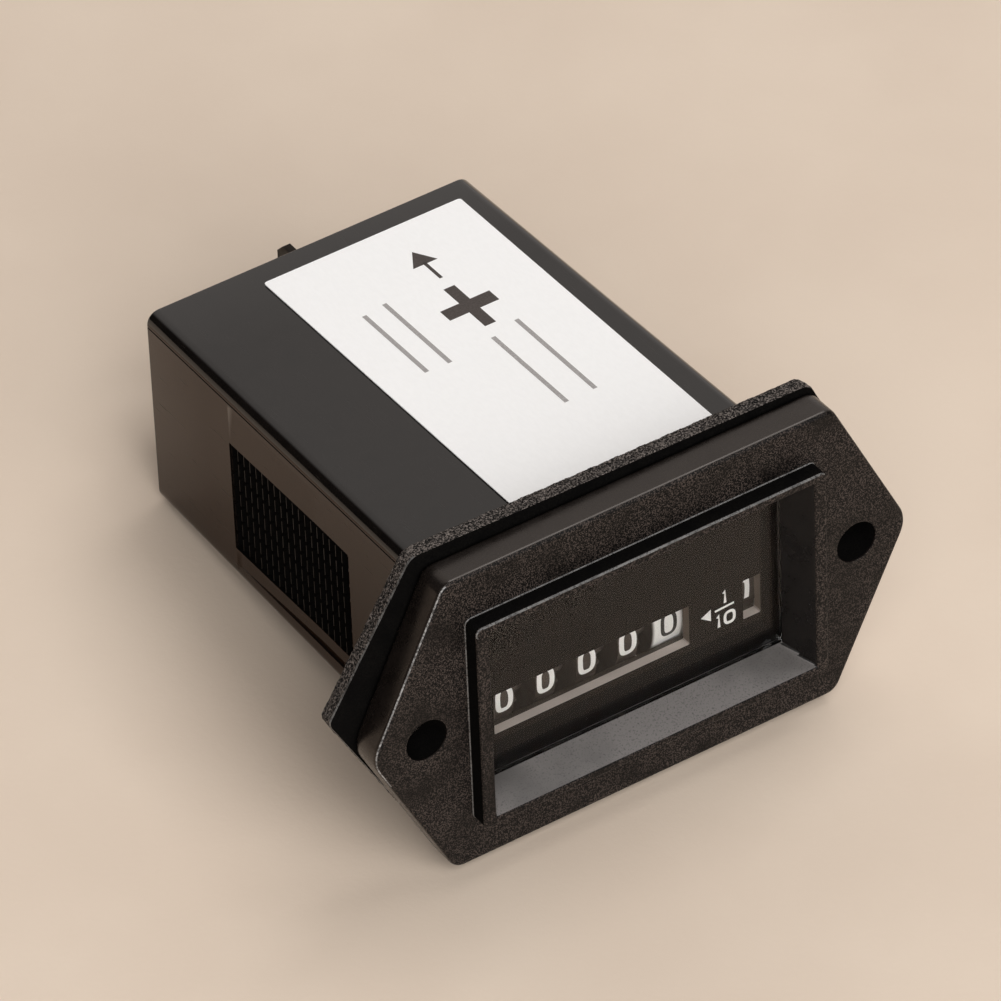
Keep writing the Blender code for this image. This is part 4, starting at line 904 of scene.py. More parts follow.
@dataclass
class Bezel(Assembly):
    """The moulded flange with its raised window frame and the skirt behind it.

    The guides are the rings of its section, counted from 0, whose points give the rays that
    all rings are read along. Faces with a painted highlight are those whose normals lean to the
    front by a cosine between two limits.
    """

    shoulder_x: float = 20.4 * MM
    half_height: float = 16.1 * MM
    tip_x: float = 28.4 * MM
    thickness: float = 3.33 * MM
    shoulder_round: float = 1.6 * MM
    tip_round: float = 3.2 * MM
    edge_round: float = 0.45 * MM
    frame_half: Pair = (18.37 * MM, 11.29 * MM)
    frame_corner: float = 0.6 * MM
    foot_round: float = 0.12 * MM
    foot_corner: float = 0.7 * MM
    frame_round: float = 0.22 * MM
    rim_half: Pair = (17.1 * MM, 10.45 * MM)
    rim_corner: float = 0.15 * MM
    rim_round: float = 0.12 * MM
    window_half: Pair = (15.7 * MM, 9.05 * MM)
    window_corner: float = 0.12 * MM
    wall_shares: tuple[float, ...] = (0.06, 0.5, 0.97, 1.0)
    skirt_inner: Colour = (16.25 * MM, 9.6 * MM, 0.1 * MM)
    skirt_outer: Colour = (16.9 * MM, 10.25 * MM, 0.65 * MM)
    rim_y: float = -5.12 * MM
    lip_y: float = -1.72 * MM
    skirt_y: float = 2.5 * MM
    hole_radius: float = 2.05 * MM
    hole_mouth: float = 0.15 * MM
    guides: tuple[int, ...] = (5, 11, 16, 25, 33, 37)
    # where the painted highlights on the frame's and the flange's edges lie
    highlight_corner: float = 1.2 * MM
    rim_highlight_lean: Pair = (-0.9, -0.3)
    highlight_foot: float = -2.5 * MM
    flange_highlight_lean: Pair = (-0.85, -0.55)

    def flange(self, inset: float) -> np.ndarray:
        """Works out the flange's six-sided outline.

        Args:
            inset: How far it is drawn in.

        Returns:
            The points of the outline.
        """
        rise = self.tip_x - self.shoulder_x
        tip = self.tip_x - inset * math.hypot(rise, self.half_height) / self.half_height
        high = self.half_height - inset
        shoulder = tip - high * (rise / self.half_height)
        upper = np.array(((shoulder, high), (-shoulder, high), (-tip, 0)))
        radii = np.array([self.shoulder_round, self.shoulder_round, self.tip_round] * 2)
        return rounded_outline(np.concatenate([upper, -upper]), radii - inset)

    def frame_outline(self, grow: float) -> np.ndarray:
        """Returns the raised frame's outline, grown by a distance."""
        return rectangle(self.frame_half[0] + grow, self.frame_half[1] + grow, self.frame_corner)

    def stations(self) -> list[tuple[np.ndarray, float]]:
        """Lists the closed rings of the bezel's section, each with its depth.

        A rounded edge is a quarter circle. Its points lie r (1 - cos t) from one side and
        r (1 - sin t) from the other, for t from 0 to a right angle.

        Returns:
            Outlines and depths, from the flange's back round its front into the window.
        """
        t = np.linspace(0, np.pi / 2, 6)
        turns = list(zip(1 - np.cos(t), 1 - np.sin(t)))
        edge, foot, soft = self.edge_round, self.foot_round, self.frame_round
        wide, high = self.frame_half
        front = -self.thickness
        rings = [(self.flange(edge * b), -edge * a) for a, b in turns]
        rings += [(self.flange(edge * a), front + edge * b) for a, b in turns]
        rings.append((self.flange(edge * 1.3), front))
        rings.append((rectangle(wide + 2 * foot, high + 2 * foot, self.foot_corner), front))
        rings += [(self.frame_outline(foot * b), front - foot * a) for a, b in turns]
        rings += [(self.frame_outline(-soft * a), self.rim_y + soft * b) for a, b in turns]
        return rings + self.window_stations()

    def window_stations(self) -> list[tuple[np.ndarray, float]]:
        """Lists the rings from the rim down the sloped walls and round the skirt.

        Returns:
            Outlines and depths, ending behind the flange.
        """
        rings = []
        rim, window = np.array(self.rim_half), np.array(self.window_half)
        for share in np.linspace(0, 1, 4):
            half = rim + self.rim_round * (1 - share)
            rings.append((rectangle(*half, self.rim_corner), self.rim_y + self.rim_round * share**2))
        top = self.rim_y + self.rim_round
        for share in self.wall_shares:
            half = rim - (rim - window) * share
            rings.append((rectangle(*half, self.window_corner), top + (self.lip_y - top) * share))
        for depth in (self.lip_y + 0.01 * MM, self.skirt_y):
            rings.append((rectangle(*self.skirt_inner), depth))
        return rings + [(rectangle(*self.skirt_outer), depth) for depth in (self.skirt_y, 0.0)]

    def shell(self) -> Shell:
        """Skins the rings, all read along the same rays from the middle.

        Returns:
            The closed surface, like a square tyre.
        """
        stations = self.stations()
        rays = [np.arctan2(*stations[guide][0].T[::-1]) for guide in self.guides]
        rays.append(np.linspace(-np.pi, np.pi, 49)[:-1])
        angles = np.unique(np.round(np.concatenate(rays), 3))
        rings = [along_rays(polar_radius(outline, angles), angles, depth) for outline, depth in stations]
        return ring_stack(np.array(rings), closed=True)

    def hole_tool(self, side: int) -> Shell:
        """Builds the cutter of a screw hole with its small mouth rounding.

        Args:
            side: -1 for the left hole, 1 for the right one.

        Returns:
            The closed surface.
        """
        mouth, front = self.hole_mouth, -self.thickness
        radius = self.hole_radius + mouth * np.array((0.0, 0.0, 0.3, 1.0, 1.0))
        depth = np.array((MM, front + mouth, front + 0.3 * mouth, front, front - MM))
        return turned_shape(np.stack([radius, depth], -1), 1, (side * SCREW_X, 0.0, 0.0), 48)

    def zones(self, mesh: bpy.types.Mesh) -> list[np.ndarray]:
        """Sorts the faces by where they lie.

        The raised frame's edge has a painted highlight at the top and the upper left corner, and its
        foot at the top and the left. The window's lower wall is a paler speckled grey and the others
        are smooth. The frame's outer walls and the holes' walls are near-black painted shade. The
        flange's rounding has a painted highlight in its middle at the upper left, where its normals
        lean between the front and the left.

        Args:
            mesh: The finished mesh.

        Returns:
            Which faces have the rim highlight, are pale grey, smooth, painted shade, have the flange
            highlight, and which are sides of the flange.
        """
        (x, y, z), (aside, lean, upward) = face_places(mesh)
        wide, high = self.rim_half
        front = -self.thickness
        window = (np.abs(x) < wide) & (np.abs(z) < high) & (y > self.rim_y + 0.02 * MM)
        upright, up, left = np.abs(lean) < 0.1, upward > 0.3, aside < -0.3
        hole = upright & (np.hypot(np.abs(x) - SCREW_X, z) < self.hole_radius)
        flank = between(y, front, 0.0) & ~hole & ~window
        # painted highlight on the flange's rounding where it faces the front and the left
        flange_highlight = flank & between(lean, *self.flange_highlight_lean) & left & (z > self.highlight_foot)
        corner = left & (z > self.frame_half[1] - self.highlight_corner)
        # painted highlight on the frame's rim and foot roundings that face up or to the left
        rim_highlight = (y < self.rim_y + self.frame_round) & (up | corner)
        rim_highlight |= between(y, front - self.foot_round, front) & (up | left)
        rim_highlight &= between(lean, *self.rim_highlight_lean)
        rim_highlight &= (np.abs(x) > wide + 0.1 * MM) | (np.abs(z) > high + 0.1 * MM)
        # painted shade: near-black on the frame's outer walls and the holes' walls
        dark = (upright & ~window & (y < front)) | hole
        return [rim_highlight, window & (upward > 0.8), window, dark, flange_highlight, flank & (np.abs(lean) < 0.5)]

    def build(self) -> None:
        """Makes the bezel in place of the frame's plain one."""
        tools = [self.hole_tool(-1), self.hole_tool(1)]
        piece = make_piece("bezel_moulding", self.shell(), "meter", tools)
        piece.modifiers.new("Flat faces", "WEIGHTED_NORMAL").keep_sharp = True
        self.wardrobe.dress(
            piece, "black_grained_plastic", Look.GRAINED_BLACK, Look.PAINTED_EDGE_HIGHLIGHT, Look.PALE_SPECKLED_GREY,
            Look.SMOOTH_BLACK, Look.PAINTED_SHADE_BLACK, Look.PAINTED_FLANGE_HIGHLIGHT, Look.FLANGE_SIDE,
        )
        sort_faces(piece, self.zones(piece.data))
        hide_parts("front_bezel")


@dataclass
class Case(Assembly):
    """The glossy drafted cup with its clip panels and ratchet ribs."""

    half_x: float = 18.15 * MM
    half_z: float = 11.5 * MM
    depth: float = 49.651 * MM
    wall: float = 1.1 * MM
    rear_wall: float = 1.2 * MM
    corner: float = 1.3 * MM
    inner_corner: float = 0.3 * MM
    rear_round: float = 0.16 * MM
    plain_rings: Pair = (2 * MM, 40 * MM)
    panel_depth: float = 0.25 * MM
    panel_high: float = 8.9 * MM
    panel_ends: Pair = (4.0 * MM, 36.0 * MM)
    panel_runout: float = 14 * MM
    rib_ends: Pair = (-7.2 * MM, 4.9 * MM)
    rib_pitch: float = 1.0195 * MM
    rib_count: int = 19
    rib_depth: float = 0.45 * MM
    rib_shares: Pair = (0.8, 0.9)
    notch_count: int = 7
    notch_gap: float = 0.24
    notch_share: float = 0.8
    line_drops: tuple[float, ...] = (0.24 * MM, 0.21 * MM, 0.09 * MM, 0.06 * MM)
    line_depth: float = 0.1 * MM
    edge_step: float = 0.004 * MM
    slot_gap: float = 0.1 * MM
    negative_slot: Pair = (-9.0 * MM, 3.275 * MM)

    def rib_start(self) -> float:
        """Returns the depth at which the foremost rib starts."""
        return self.panel_ends[1] - self.rib_count * self.rib_pitch

    def recess(self, y: np.ndarray, z: np.ndarray) -> np.ndarray:
        """Works out how deep the side lies under its drafted plane.

        The panel is a step that runs out towards the rear. Each rib falls evenly and rises
        steeply, like a saw tooth, and notches across the ribs are a triangle wave in z, of
        which the lower part is cut off flat. The deeper of both counts.

        Args:
            y: Depth of each point.
            z: Height of each point.

        Returns:
            The depth of the recess at each point.
        """
        near, far = self.panel_ends
        low, high = self.rib_ends
        start = self.rib_start()
        runout = np.clip((far - y) / self.panel_runout, 0.0, 1.0)
        in_panel = between(y, near, far) & (np.abs(z) < self.panel_high)
        share = ((y - start) / self.rib_pitch) % 1.0
        tooth = np.interp(share, [0.0, *self.rib_shares, 1.0], [0.0, 1.0, 0.0, 0.0])
        wave = np.abs(2 * ((z - low) / (high - low) * self.notch_count % 1.0) - 1)
        notch = self.notch_share * np.clip((wave - 1 + self.notch_gap) / self.notch_gap, 0.0, 1.0)
        crest, valley = 0.8 * self.panel_depth, self.panel_depth + self.rib_depth
        saw = crest + (valley - crest) * np.maximum(tooth, notch)
        in_ribs = between(y, start, far) & between(z, low, high)
        return np.where(in_ribs, saw, np.where(in_panel, self.panel_depth * runout, 0.0))

    def marks(self, first: float, pitch: float, count: int, shares: Pair, *steps: float) -> np.ndarray:
        """Lists the places along one direction where the side has an edge.

        Args:
            first: Where the first rib or notch starts.
            pitch: The distance from one to the next.
            count: How many there are.
            shares: Where the edges of each lie, as shares of the pitch.
            steps: Sharp steps, each of which takes a place before it and one behind it.

        Returns:
            The places in order.
        """
        feet = first + pitch * np.arange(count)
        edges = feet[:, None] + pitch * np.array((0.0, *shares))
        pairs = np.array(steps)[:, None] + np.array((-self.edge_step, self.edge_step))
        return np.unique(np.concatenate([edges.ravel(), pairs.ravel()]))

    def section(self) -> np.ndarray:
        """Lays out the points of one ring round the case, counterclockwise from its foot.

        Returns:
            Six rows with a column for each point: x and z of its anchor, x and z of its outward
            direction, 1 where it follows the draft in z, and the depth of the fine line below
            the upper corner.
        """
        turn = np.linspace(0, np.pi / 2, 9)
        wide, high = self.half_x - self.corner, self.half_z - self.corner
        low, top = self.rib_ends
        shares = (self.notch_gap / 2, 1 - self.notch_gap / 2)
        steps = (-self.panel_high, self.panel_high, low, top)
        marks = self.marks(low, (top - low) / self.notch_count, self.notch_count, shares, *steps)
        marks = marks[marks != low]
        line = high - np.array(self.line_drops)
        count = len(marks) + len(line)
        arc = np.full(len(turn), high)
        anchor_z = np.concatenate([-arc, marks, line, arc])
        out_x = np.concatenate([np.cos(turn[::-1]), np.ones(count), np.cos(turn)])
        out_z = np.concatenate([-np.sin(turn[::-1]), np.zeros(count), np.sin(turn)])
        drafted, groove = np.ones(len(out_x)), np.zeros(len(out_x))
        first, last = len(turn), len(turn) + len(marks)
        drafted[first:last] = 0.0
        groove[last + 1:last + 3] = self.line_depth
        half = np.stack([np.full(len(out_x), wide), anchor_z, out_x, out_z, drafted, groove])
        mirror = np.array((-1, 1, -1, 1, 1, 1))[:, None]
        return np.concatenate([half, half[:, ::-1] * mirror], 1)

    def outer_rings(self) -> np.ndarray:
        """Works out the outer side: a rounded rectangle that shrinks with the draft.

        Returns:
            Rings of points from the front to the rear face.
        """
        anchor_x, anchor_z, out_x, out_z, drafted, groove = self.section()
        steps = (self.panel_ends[0], self.rib_start(), self.panel_ends[1])
        ribs = self.marks(steps[1], self.rib_pitch, self.rib_count, self.rib_shares, *steps)
        before, behind = self.plain_rings
        y = np.array((CASE_FRONT, before, *ribs, behind, self.depth - self.rear_round))[:, None]
        shrink = y * math.tan(CASE_DRAFT)
        x = anchor_x - np.sign(anchor_x) * shrink + out_x * self.corner
        z = anchor_z - np.sign(anchor_z) * shrink * drafted + out_z * self.corner
        recess = np.where(np.abs(out_x) == 1.0, np.maximum(self.recess(y, z), groove), 0.0)
        rings = np.stack(np.broadcast_arrays(x - out_x * recess, y, z), -1)
        turn = np.linspace(0, np.pi / 2, 5)[1:, None, None]
        inward = np.stack([-out_x, 0 * out_x, -out_z], -1) * (1 - np.cos(turn))
        rear = rings[-1] + self.rear_round * (inward + np.array((0.0, 1.0, 0.0)) * np.sin(turn))
        return np.concatenate([rings, rear])

    def shell(self) -> Shell:
        """Adds the front rim and the cavity to the outer side.

        Returns:
            The closed surface of the cup.
        """
        outer = self.outer_rings()
        angles = np.arctan2(outer[0, :, 2], outer[0, :, 0])
        inside = []
        for y in (self.depth - self.rear_wall, CASE_FRONT):
            shrink = y * math.tan(CASE_DRAFT) + self.wall
            outline = rectangle(self.half_x - shrink, self.half_z - shrink, self.inner_corner)
            inside.append(along_rays(polar_radius(outline, angles), angles, y))
        return ring_stack(np.concatenate([inside, outer]))

    def slots(self) -> list[Shell]:
        """Builds the cutters of the two slots that the blades pass through.

        Returns:
            A block round each blade, through the rear wall.
        """
        found = []
        for name in ("terminal_positive", "terminal_negative"):
            low, high = (np.array(corner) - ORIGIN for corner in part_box(name))
            low, high = low - self.slot_gap, high + self.slot_gap
            if name == "terminal_negative":
                middle, half = self.negative_slot
                low[0], high[0] = middle - half, middle + half
            low[1], high[1] = self.depth - 2 * MM, self.depth + MM
            found.append(rounded_block(low, high, 0.05 * MM, 2))
        return found

    def zones(self, mesh: bpy.types.Mesh) -> list[np.ndarray]:
        """Sorts the faces: the ribs' crests and flanks, both darkened as painted shade, and the
        glossy sides, whose brown specular tint is a painted reflection.

        Args:
            mesh: The finished mesh.

        Returns:
            Which faces are crests, sides and flanks.
        """
        (x, y, z), normal = face_places(mesh)
        outer = np.abs(x) > self.half_x - self.corner
        side = outer & (normal[0] * np.sign(x) > 0.99)
        ribs = outer & between(y, self.rib_start(), self.panel_ends[1]) & between(z, *self.rib_ends)
        # crests and flanks are painted darker as shade; the sides get a painted reflection tint
        return [side & ribs, side, ribs]

    def build(self) -> None:
        """Makes the case in place of the frame's plain one."""
        piece = make_piece("case_moulding", self.shell(), "meter", self.slots())
        looks = (Look.SATIN_BLACK, Look.RIB_SHADE_BLACK, Look.SIDE_PAINTED_REFLECTION, Look.PAINTED_SHADE_BLACK)
        self.wardrobe.dress(piece, "black_gloss_plastic", *looks)
        sort_faces(piece, self.zones(piece.data))
        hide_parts("case")


@dataclass
class Gasket(Assembly):
    """The foam sheet behind the flange, cut a little unevenly.

    Each corner is given by its x, its z and its radius, in millimetres. Each wave of the
    ragged edge is given by its count round the outline and its drift through the sheet.
    """

    near: float = 0.1 * MM
    far: float = 1.6 * MM
    opening: Colour = (18.45 * MM, 11.8 * MM, 1.3 * MM)
    hole_radius: float = 2.4 * MM
    corners: tuple[Colour, ...] = (
        (20.4, 16.75, 1.6), (-21.4, 17.5, 1.6), (-30.5, 3.2, 0.9), (-19.8, -16.5, 1.6),
        (20.4, -16.5, 1.6), (28.4, 0.0, 3.2),
    )
    waves: tuple[Pair, ...] = ((61, 9), (23, -5), (283, 23), (97, -31))
    ragged_depth: float = 0.05 * MM
    edge_depth: float = 0.1 * MM
    highlight_depth: float = 0.17 * MM

    def shell(self) -> Shell:
        """Skins the sheet between its outer edge and its opening, with a rough outer side.

        The edge moves in and out by two products of sine waves round the outline, together
        less than 0.2 mm, and it is drawn in near both faces.

        Returns:
            The closed surface.
        """
        x, z, radii = np.array(self.corners).T * MM
        outer, inner = rounded_outline(np.stack([x, z], -1), radii, 12), rectangle(*self.opening)
        rays = [np.arctan2(*outline.T[::-1]) for outline in (outer, inner)]
        rays.append(np.linspace(-np.pi, np.pi, 1400, endpoint=False))
        angles = np.unique(np.round(np.concatenate(rays), 4))
        depth = np.linspace(self.near, self.far, 10)[:, None]
        share = (depth - self.near) / (self.far - self.near)
        waves = [np.sin(count * angles + drift * share) for count, drift in self.waves]
        ragged = 1.7 + (waves[0] * waves[1] + 0.7 * waves[2] * waves[3])
        behind = np.clip(share / 0.3, 0.0, 1.0)
        edge = polar_radius(outer, angles) - self.ragged_depth * ragged * behind
        edge = edge - self.edge_depth * np.abs(2 * share - 1) ** 6
        hollow = polar_radius(inner, angles)[None]
        radius = np.concatenate([hollow, edge, hollow])
        depth = np.concatenate([depth[:1], depth, depth[-1:]])
        return ring_stack(along_rays(radius, angles, depth), closed=True)

    def zones(self, mesh: bpy.types.Mesh) -> list[np.ndarray]:
        """Sorts the faces: the front face, near-black as painted shade, and a painted highlight on the
        left-facing front edge beside it.

        Args:
            mesh: The finished mesh.

        Returns:
            Which faces are painted shade and which have the painted highlight.
        """
        middle, normal = face_places(mesh)
        # painted shade on the front face, painted highlight on the left-facing front edge
        return [normal[1] < -0.9, (middle[1] < self.near + self.highlight_depth) & (normal[0] < -0.3)]

    def build(self) -> None:
        """Makes the gasket in place of the frame's plain one."""
        profile = np.array(((self.hole_radius, -MM), (self.hole_radius, 3 * MM)))
        tools = [turned_shape(profile, 1, (side * SCREW_X, 0, 0), 40) for side in (-1, 1)]
        piece = make_piece("gasket_foam", self.shell(), "meter", tools)
        self.wardrobe.dress(piece, "black_foam", Look.BLACK_FOAM, Look.PAINTED_SHADE_BLACK, Look.PAINTED_EDGE_HIGHLIGHT)
        sort_faces(piece, self.zones(piece.data))
        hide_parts("gasket")


# Print


class Glyph(enum.Enum):
    """The plain digits, by the shape that each has on a drum."""

    ZERO, ONE, TWO, THREE, FOUR, FIVE, SIX, SEVEN, EIGHT, NINE = range(10)


@dataclass
class DigitStrokes:
    """Draws digits as strokes of even width inside a box of half width a and half height b."""

    half_width: float
    half_height: float
    steps: int = 28

    def oval(self, low: float, high: float, start: float = 0.0, sweep: float = 360.0) -> np.ndarray:
        """Works out part of a squarish oval.

        A point is a sgn(cos t) |cos t|^0.7 across and b sgn(sin t) |sin t|^0.7 up from the
        middle between two heights.

        Args:
            low: The oval's lowest height, from -1 to 1.
            high: Its highest height.
            start: The angle in degrees at which it starts, from the right side.
            sweep: The angle in degrees that it covers.

        Returns:
            Its points.
        """
        turn = np.radians(start + np.linspace(0, sweep, self.steps))
        across, up = (np.sign(wave) * np.abs(wave) ** 0.7 for wave in (np.cos(turn), np.sin(turn)))
        middle, half = (low + high) / 2, (high - low) / 2
        return np.stack([across * self.half_width, (middle + up * half) * self.half_height], -1)

    def line(self, *points: Pair) -> np.ndarray:
        """Returns straight strokes through points given as shares of the half sizes."""
        return np.array(points) * (self.half_width, self.half_height)

    def strokes(self, glyph: Glyph) -> list[np.ndarray]:
        """Lists the strokes of a digit.

        Args:
            glyph: The digit.

        Returns:
            The middle line of each stroke.
        """
        oval, line = self.oval, self.line
        shapes = {
            Glyph.ZERO: [oval(-1, 1)],
            Glyph.ONE: [line((-0.35, 0.62), (0.15, 1.0), (0.15, -1.0))],
            Glyph.TWO: [np.concatenate([oval(-0.1, 1, 160, -190), line((-1, -1), (1, -1))])],
            Glyph.THREE: [oval(0, 1, 150, -235), oval(-1, 0, 85, -235)],
            Glyph.FOUR: [line((0.45, -1), (0.45, 1), (-1, -0.4), (1, -0.4))],
            Glyph.FIVE: [line((0.9, 1), (-0.8, 1), (-0.9, 0.1)), oval(-1, 0.3, 140, -280)],
            Glyph.SIX: [oval(-1, 0.15), line((0.6, 1), (-0.5, 0.5), (-1, -0.3))],
            Glyph.SEVEN: [line((-1, 1), (1, 1), (-0.3, -1))],
            Glyph.EIGHT: [oval(0.02, 1), oval(-1, 0.02)],
            Glyph.NINE: [oval(-0.15, 1), line((-0.6, -1), (0.5, -0.5), (1, 0.3))],
        }
        return shapes[glyph]


def ribbon(path: np.ndarray, width: float) -> tuple[np.ndarray, bool]:
    """Widens a flat line to a ribbon, mitred at its bends.

    Args:
        path: The points of the middle line, on a plane.
        width: The ribbon's width.

    Returns:
        Points as an array of stations by two sides by two coordinates, and whether the
        ribbon closes on itself.
    """
    closed = bool(np.linalg.norm(path[0] - path[-1]) < 1e-7)
    if closed:
        path = path[:-1]
    after = np.roll(path, -1, 0) - path
    after /= np.maximum(np.linalg.norm(after, axis=1), 1e-12)[:, None]
    before = np.roll(after, 1, 0)
    if not closed:
        after[-1], before[0] = before[-1], after[0]
    aside = np.stack([-after[:, 1], after[:, 0]], -1)
    mitre = np.stack([-before[:, 1], before[:, 0]], -1) + aside
    mitre /= np.maximum((mitre * aside).sum(1), 0.6)[:, None]
    offset = mitre * width / 2
    return np.stack([path + offset, path - offset], 1), closed


def dense(path: np.ndarray, step: float) -> np.ndarray:
    """Divides the sides of a line, so that it can follow a curved surface.

    Args:
        path: The points of the line.
        step: The longest side that it may keep.

    Returns:
        Points evenly spaced along each side.
    """
    lengths = np.linalg.norm(np.diff(path, axis=0), axis=1)
    along = np.append(0, np.cumsum(lengths))
    parts = np.maximum(np.ceil(lengths / step), 1).astype(int)
    sides = zip(along, along[1:], parts)
    spots = [np.linspace(start, end, count, endpoint=False) for start, end, count in sides]
    spots = np.append(np.concatenate(spots), along[-1])
    return np.stack([np.interp(spots, along, path[:, k]) for k in (0, 1)], -1)


@dataclass
class Placer:
    """Lays flat points on a surface and prints there, with ink of one height."""

    ink: float

    def lay(self, points: np.ndarray, height: float) -> np.ndarray:
        """Returns the points in space, at a height over the surface."""
        raise NotImplementedError

    def patch(self, outline: np.ndarray) -> Shell:
        """Returns a filled outline with a foot under the surface and a top over it."""
        return ring_stack(np.stack([self.lay(outline, -self.ink), self.lay(outline, self.ink)]))

    def stroke(self, path: np.ndarray, width: float) -> Shell:
        """Builds a stroke of ink: a ribbon with a foot under the surface and a top over it.

        Args:
            path: The points of the stroke's middle line.
            width: The stroke's width.

        Returns:
            The closed surface.
        """
        sides, closed = ribbon(path, width)
        top, foot = self.lay(sides, self.ink), self.lay(sides, -self.ink)
        return ring_stack(np.stack([top[:, 0], top[:, 1], foot[:, 1], foot[:, 0]], 1), closed)


@dataclass
class OnDrum(Placer):
    """Wraps points round a drum that turns on an axis along x.

    A height v on the flat becomes the angle v / radius up from the drum's front, after the
    turn of the digit's own place.
    """

    x: float
    axis: Pair
    radius: float
    turn: float

    def lay(self, points: np.ndarray, height: float) -> np.ndarray:
        """Wraps points on the drum.

        Args:
            points: The flat points.
            height: How far over the drum they lie.

        Returns:
            The points in space.
        """
        angle, reach = self.turn + points[..., 1] / self.radius, self.radius + height
        y, z = self.axis[0] - reach * np.cos(angle), self.axis[1] + reach * np.sin(angle)
        return np.stack([self.x + points[..., 0], y, z], -1)


@dataclass
class OnPlane(Placer):
    """Lays points on a plane that holds the x direction, given by a point and its slope."""

    corner: np.ndarray
    up: np.ndarray

    def lay(self, points: np.ndarray, height: float) -> np.ndarray:
        """Lays points on the plane.

        Args:
            points: The flat points.
            height: How far over the plane they lie.

        Returns:
            The points in space.
        """
        across = np.array((1.0, 0.0, 0.0))
        flat = points[..., :1] * across + points[..., 1:] * self.up
        return self.corner + flat + np.cross(across, self.up) * height


@dataclass
class Counter(Assembly):
    """The six drums with their printed digits."""

    axis: Pair = (7.68 * MM, -3.3 * MM)
    radius: float = 6.3 * MM
    pitch: float = 4.36 * MM
    units_x: float = 5.2 * MM
    tenths_x: float = 13.5 * MM
    digit_half: Pair = (0.68 * MM, 1.22 * MM)
    stroke: float = 0.5 * MM
    units_stroke: float = 0.38 * MM
    longest_side: float = 0.25 * MM
    ink: float = 0.015 * MM
    print_drop: float = 0.07 * MM
    band_foot: float = 0.05 * MM
    band_height: float = 0.008 * MM

    def print_digits(self, name: str, x: float, stroke: float, look: Look, first: int = 0) -> None:
        """Prints the ten digits round one drum.

        Args:
            name: The drum's name.
            x: The middle of the digits.
            stroke: The width of their strokes.
            look: The ink.
            first: The digit at the drum's front.
        """
        strokes = DigitStrokes(*self.digit_half)
        shells = []
        for glyph in Glyph:
            turn = (glyph.value - first) * math.tau / 10 - self.print_drop / self.radius
            place = OnDrum(self.ink, x, self.axis, self.radius, turn)
            for path in strokes.strokes(glyph):
                shells.append(place.stroke(dense(path, self.longest_side), stroke))
        piece = make_piece(f"digits_{name}", joined(shells), f"drum_{name}")
        self.wardrobe.dress(piece, "drum_black", look)

    def band(self) -> Shell:
        """Builds the thin white ring round the units drum, under its digits.

        Returns:
            A turned rectangle.
        """
        low, high = self.radius - self.band_foot, self.radius + self.band_height
        left, right = UNITS_BAND
        profile = np.array(((low, left), (high, left), (high, right), (low, right)))
        return turned_shape(profile, 0, (0.0, *self.axis), 120, closed=True)

    def build(self) -> None:
        """Prints the drums and dresses them."""
        self.print_digits("units", self.units_x, self.units_stroke, Look.INK_BLACK)
        for k, name in enumerate(("tens", "hundreds", "thousands", "ten_thousands"), 1):
            self.print_digits(name, self.units_x - k * self.pitch, self.stroke, Look.INK_WHITE)
            self.wardrobe.dress_nodes(Look.DRUM_BROWN, f"drum_{name}")
        self.print_digits("tenths", self.tenths_x, self.stroke, Look.INK_WHITE, 1)
        band = make_piece("units_band", self.band(), "drum_units")
        self.wardrobe.dress(band, "drum_black", Look.DRUM_BAND)
        self.wardrobe.dress_nodes(Look.DRUM_BROWN, "drum_units drum_tenths")
        self.wardrobe.dress_nodes(Look.GEAR_WHITE, " ".join(f"carry_pinion_{k}" for k in range(1, 6)))
        self.wardrobe.dress_nodes(Look.STEEL, "drum_axle pinion_axle")
        self.wardrobe.dress_nodes(Look.FRAME_GREY, "counter_frame")


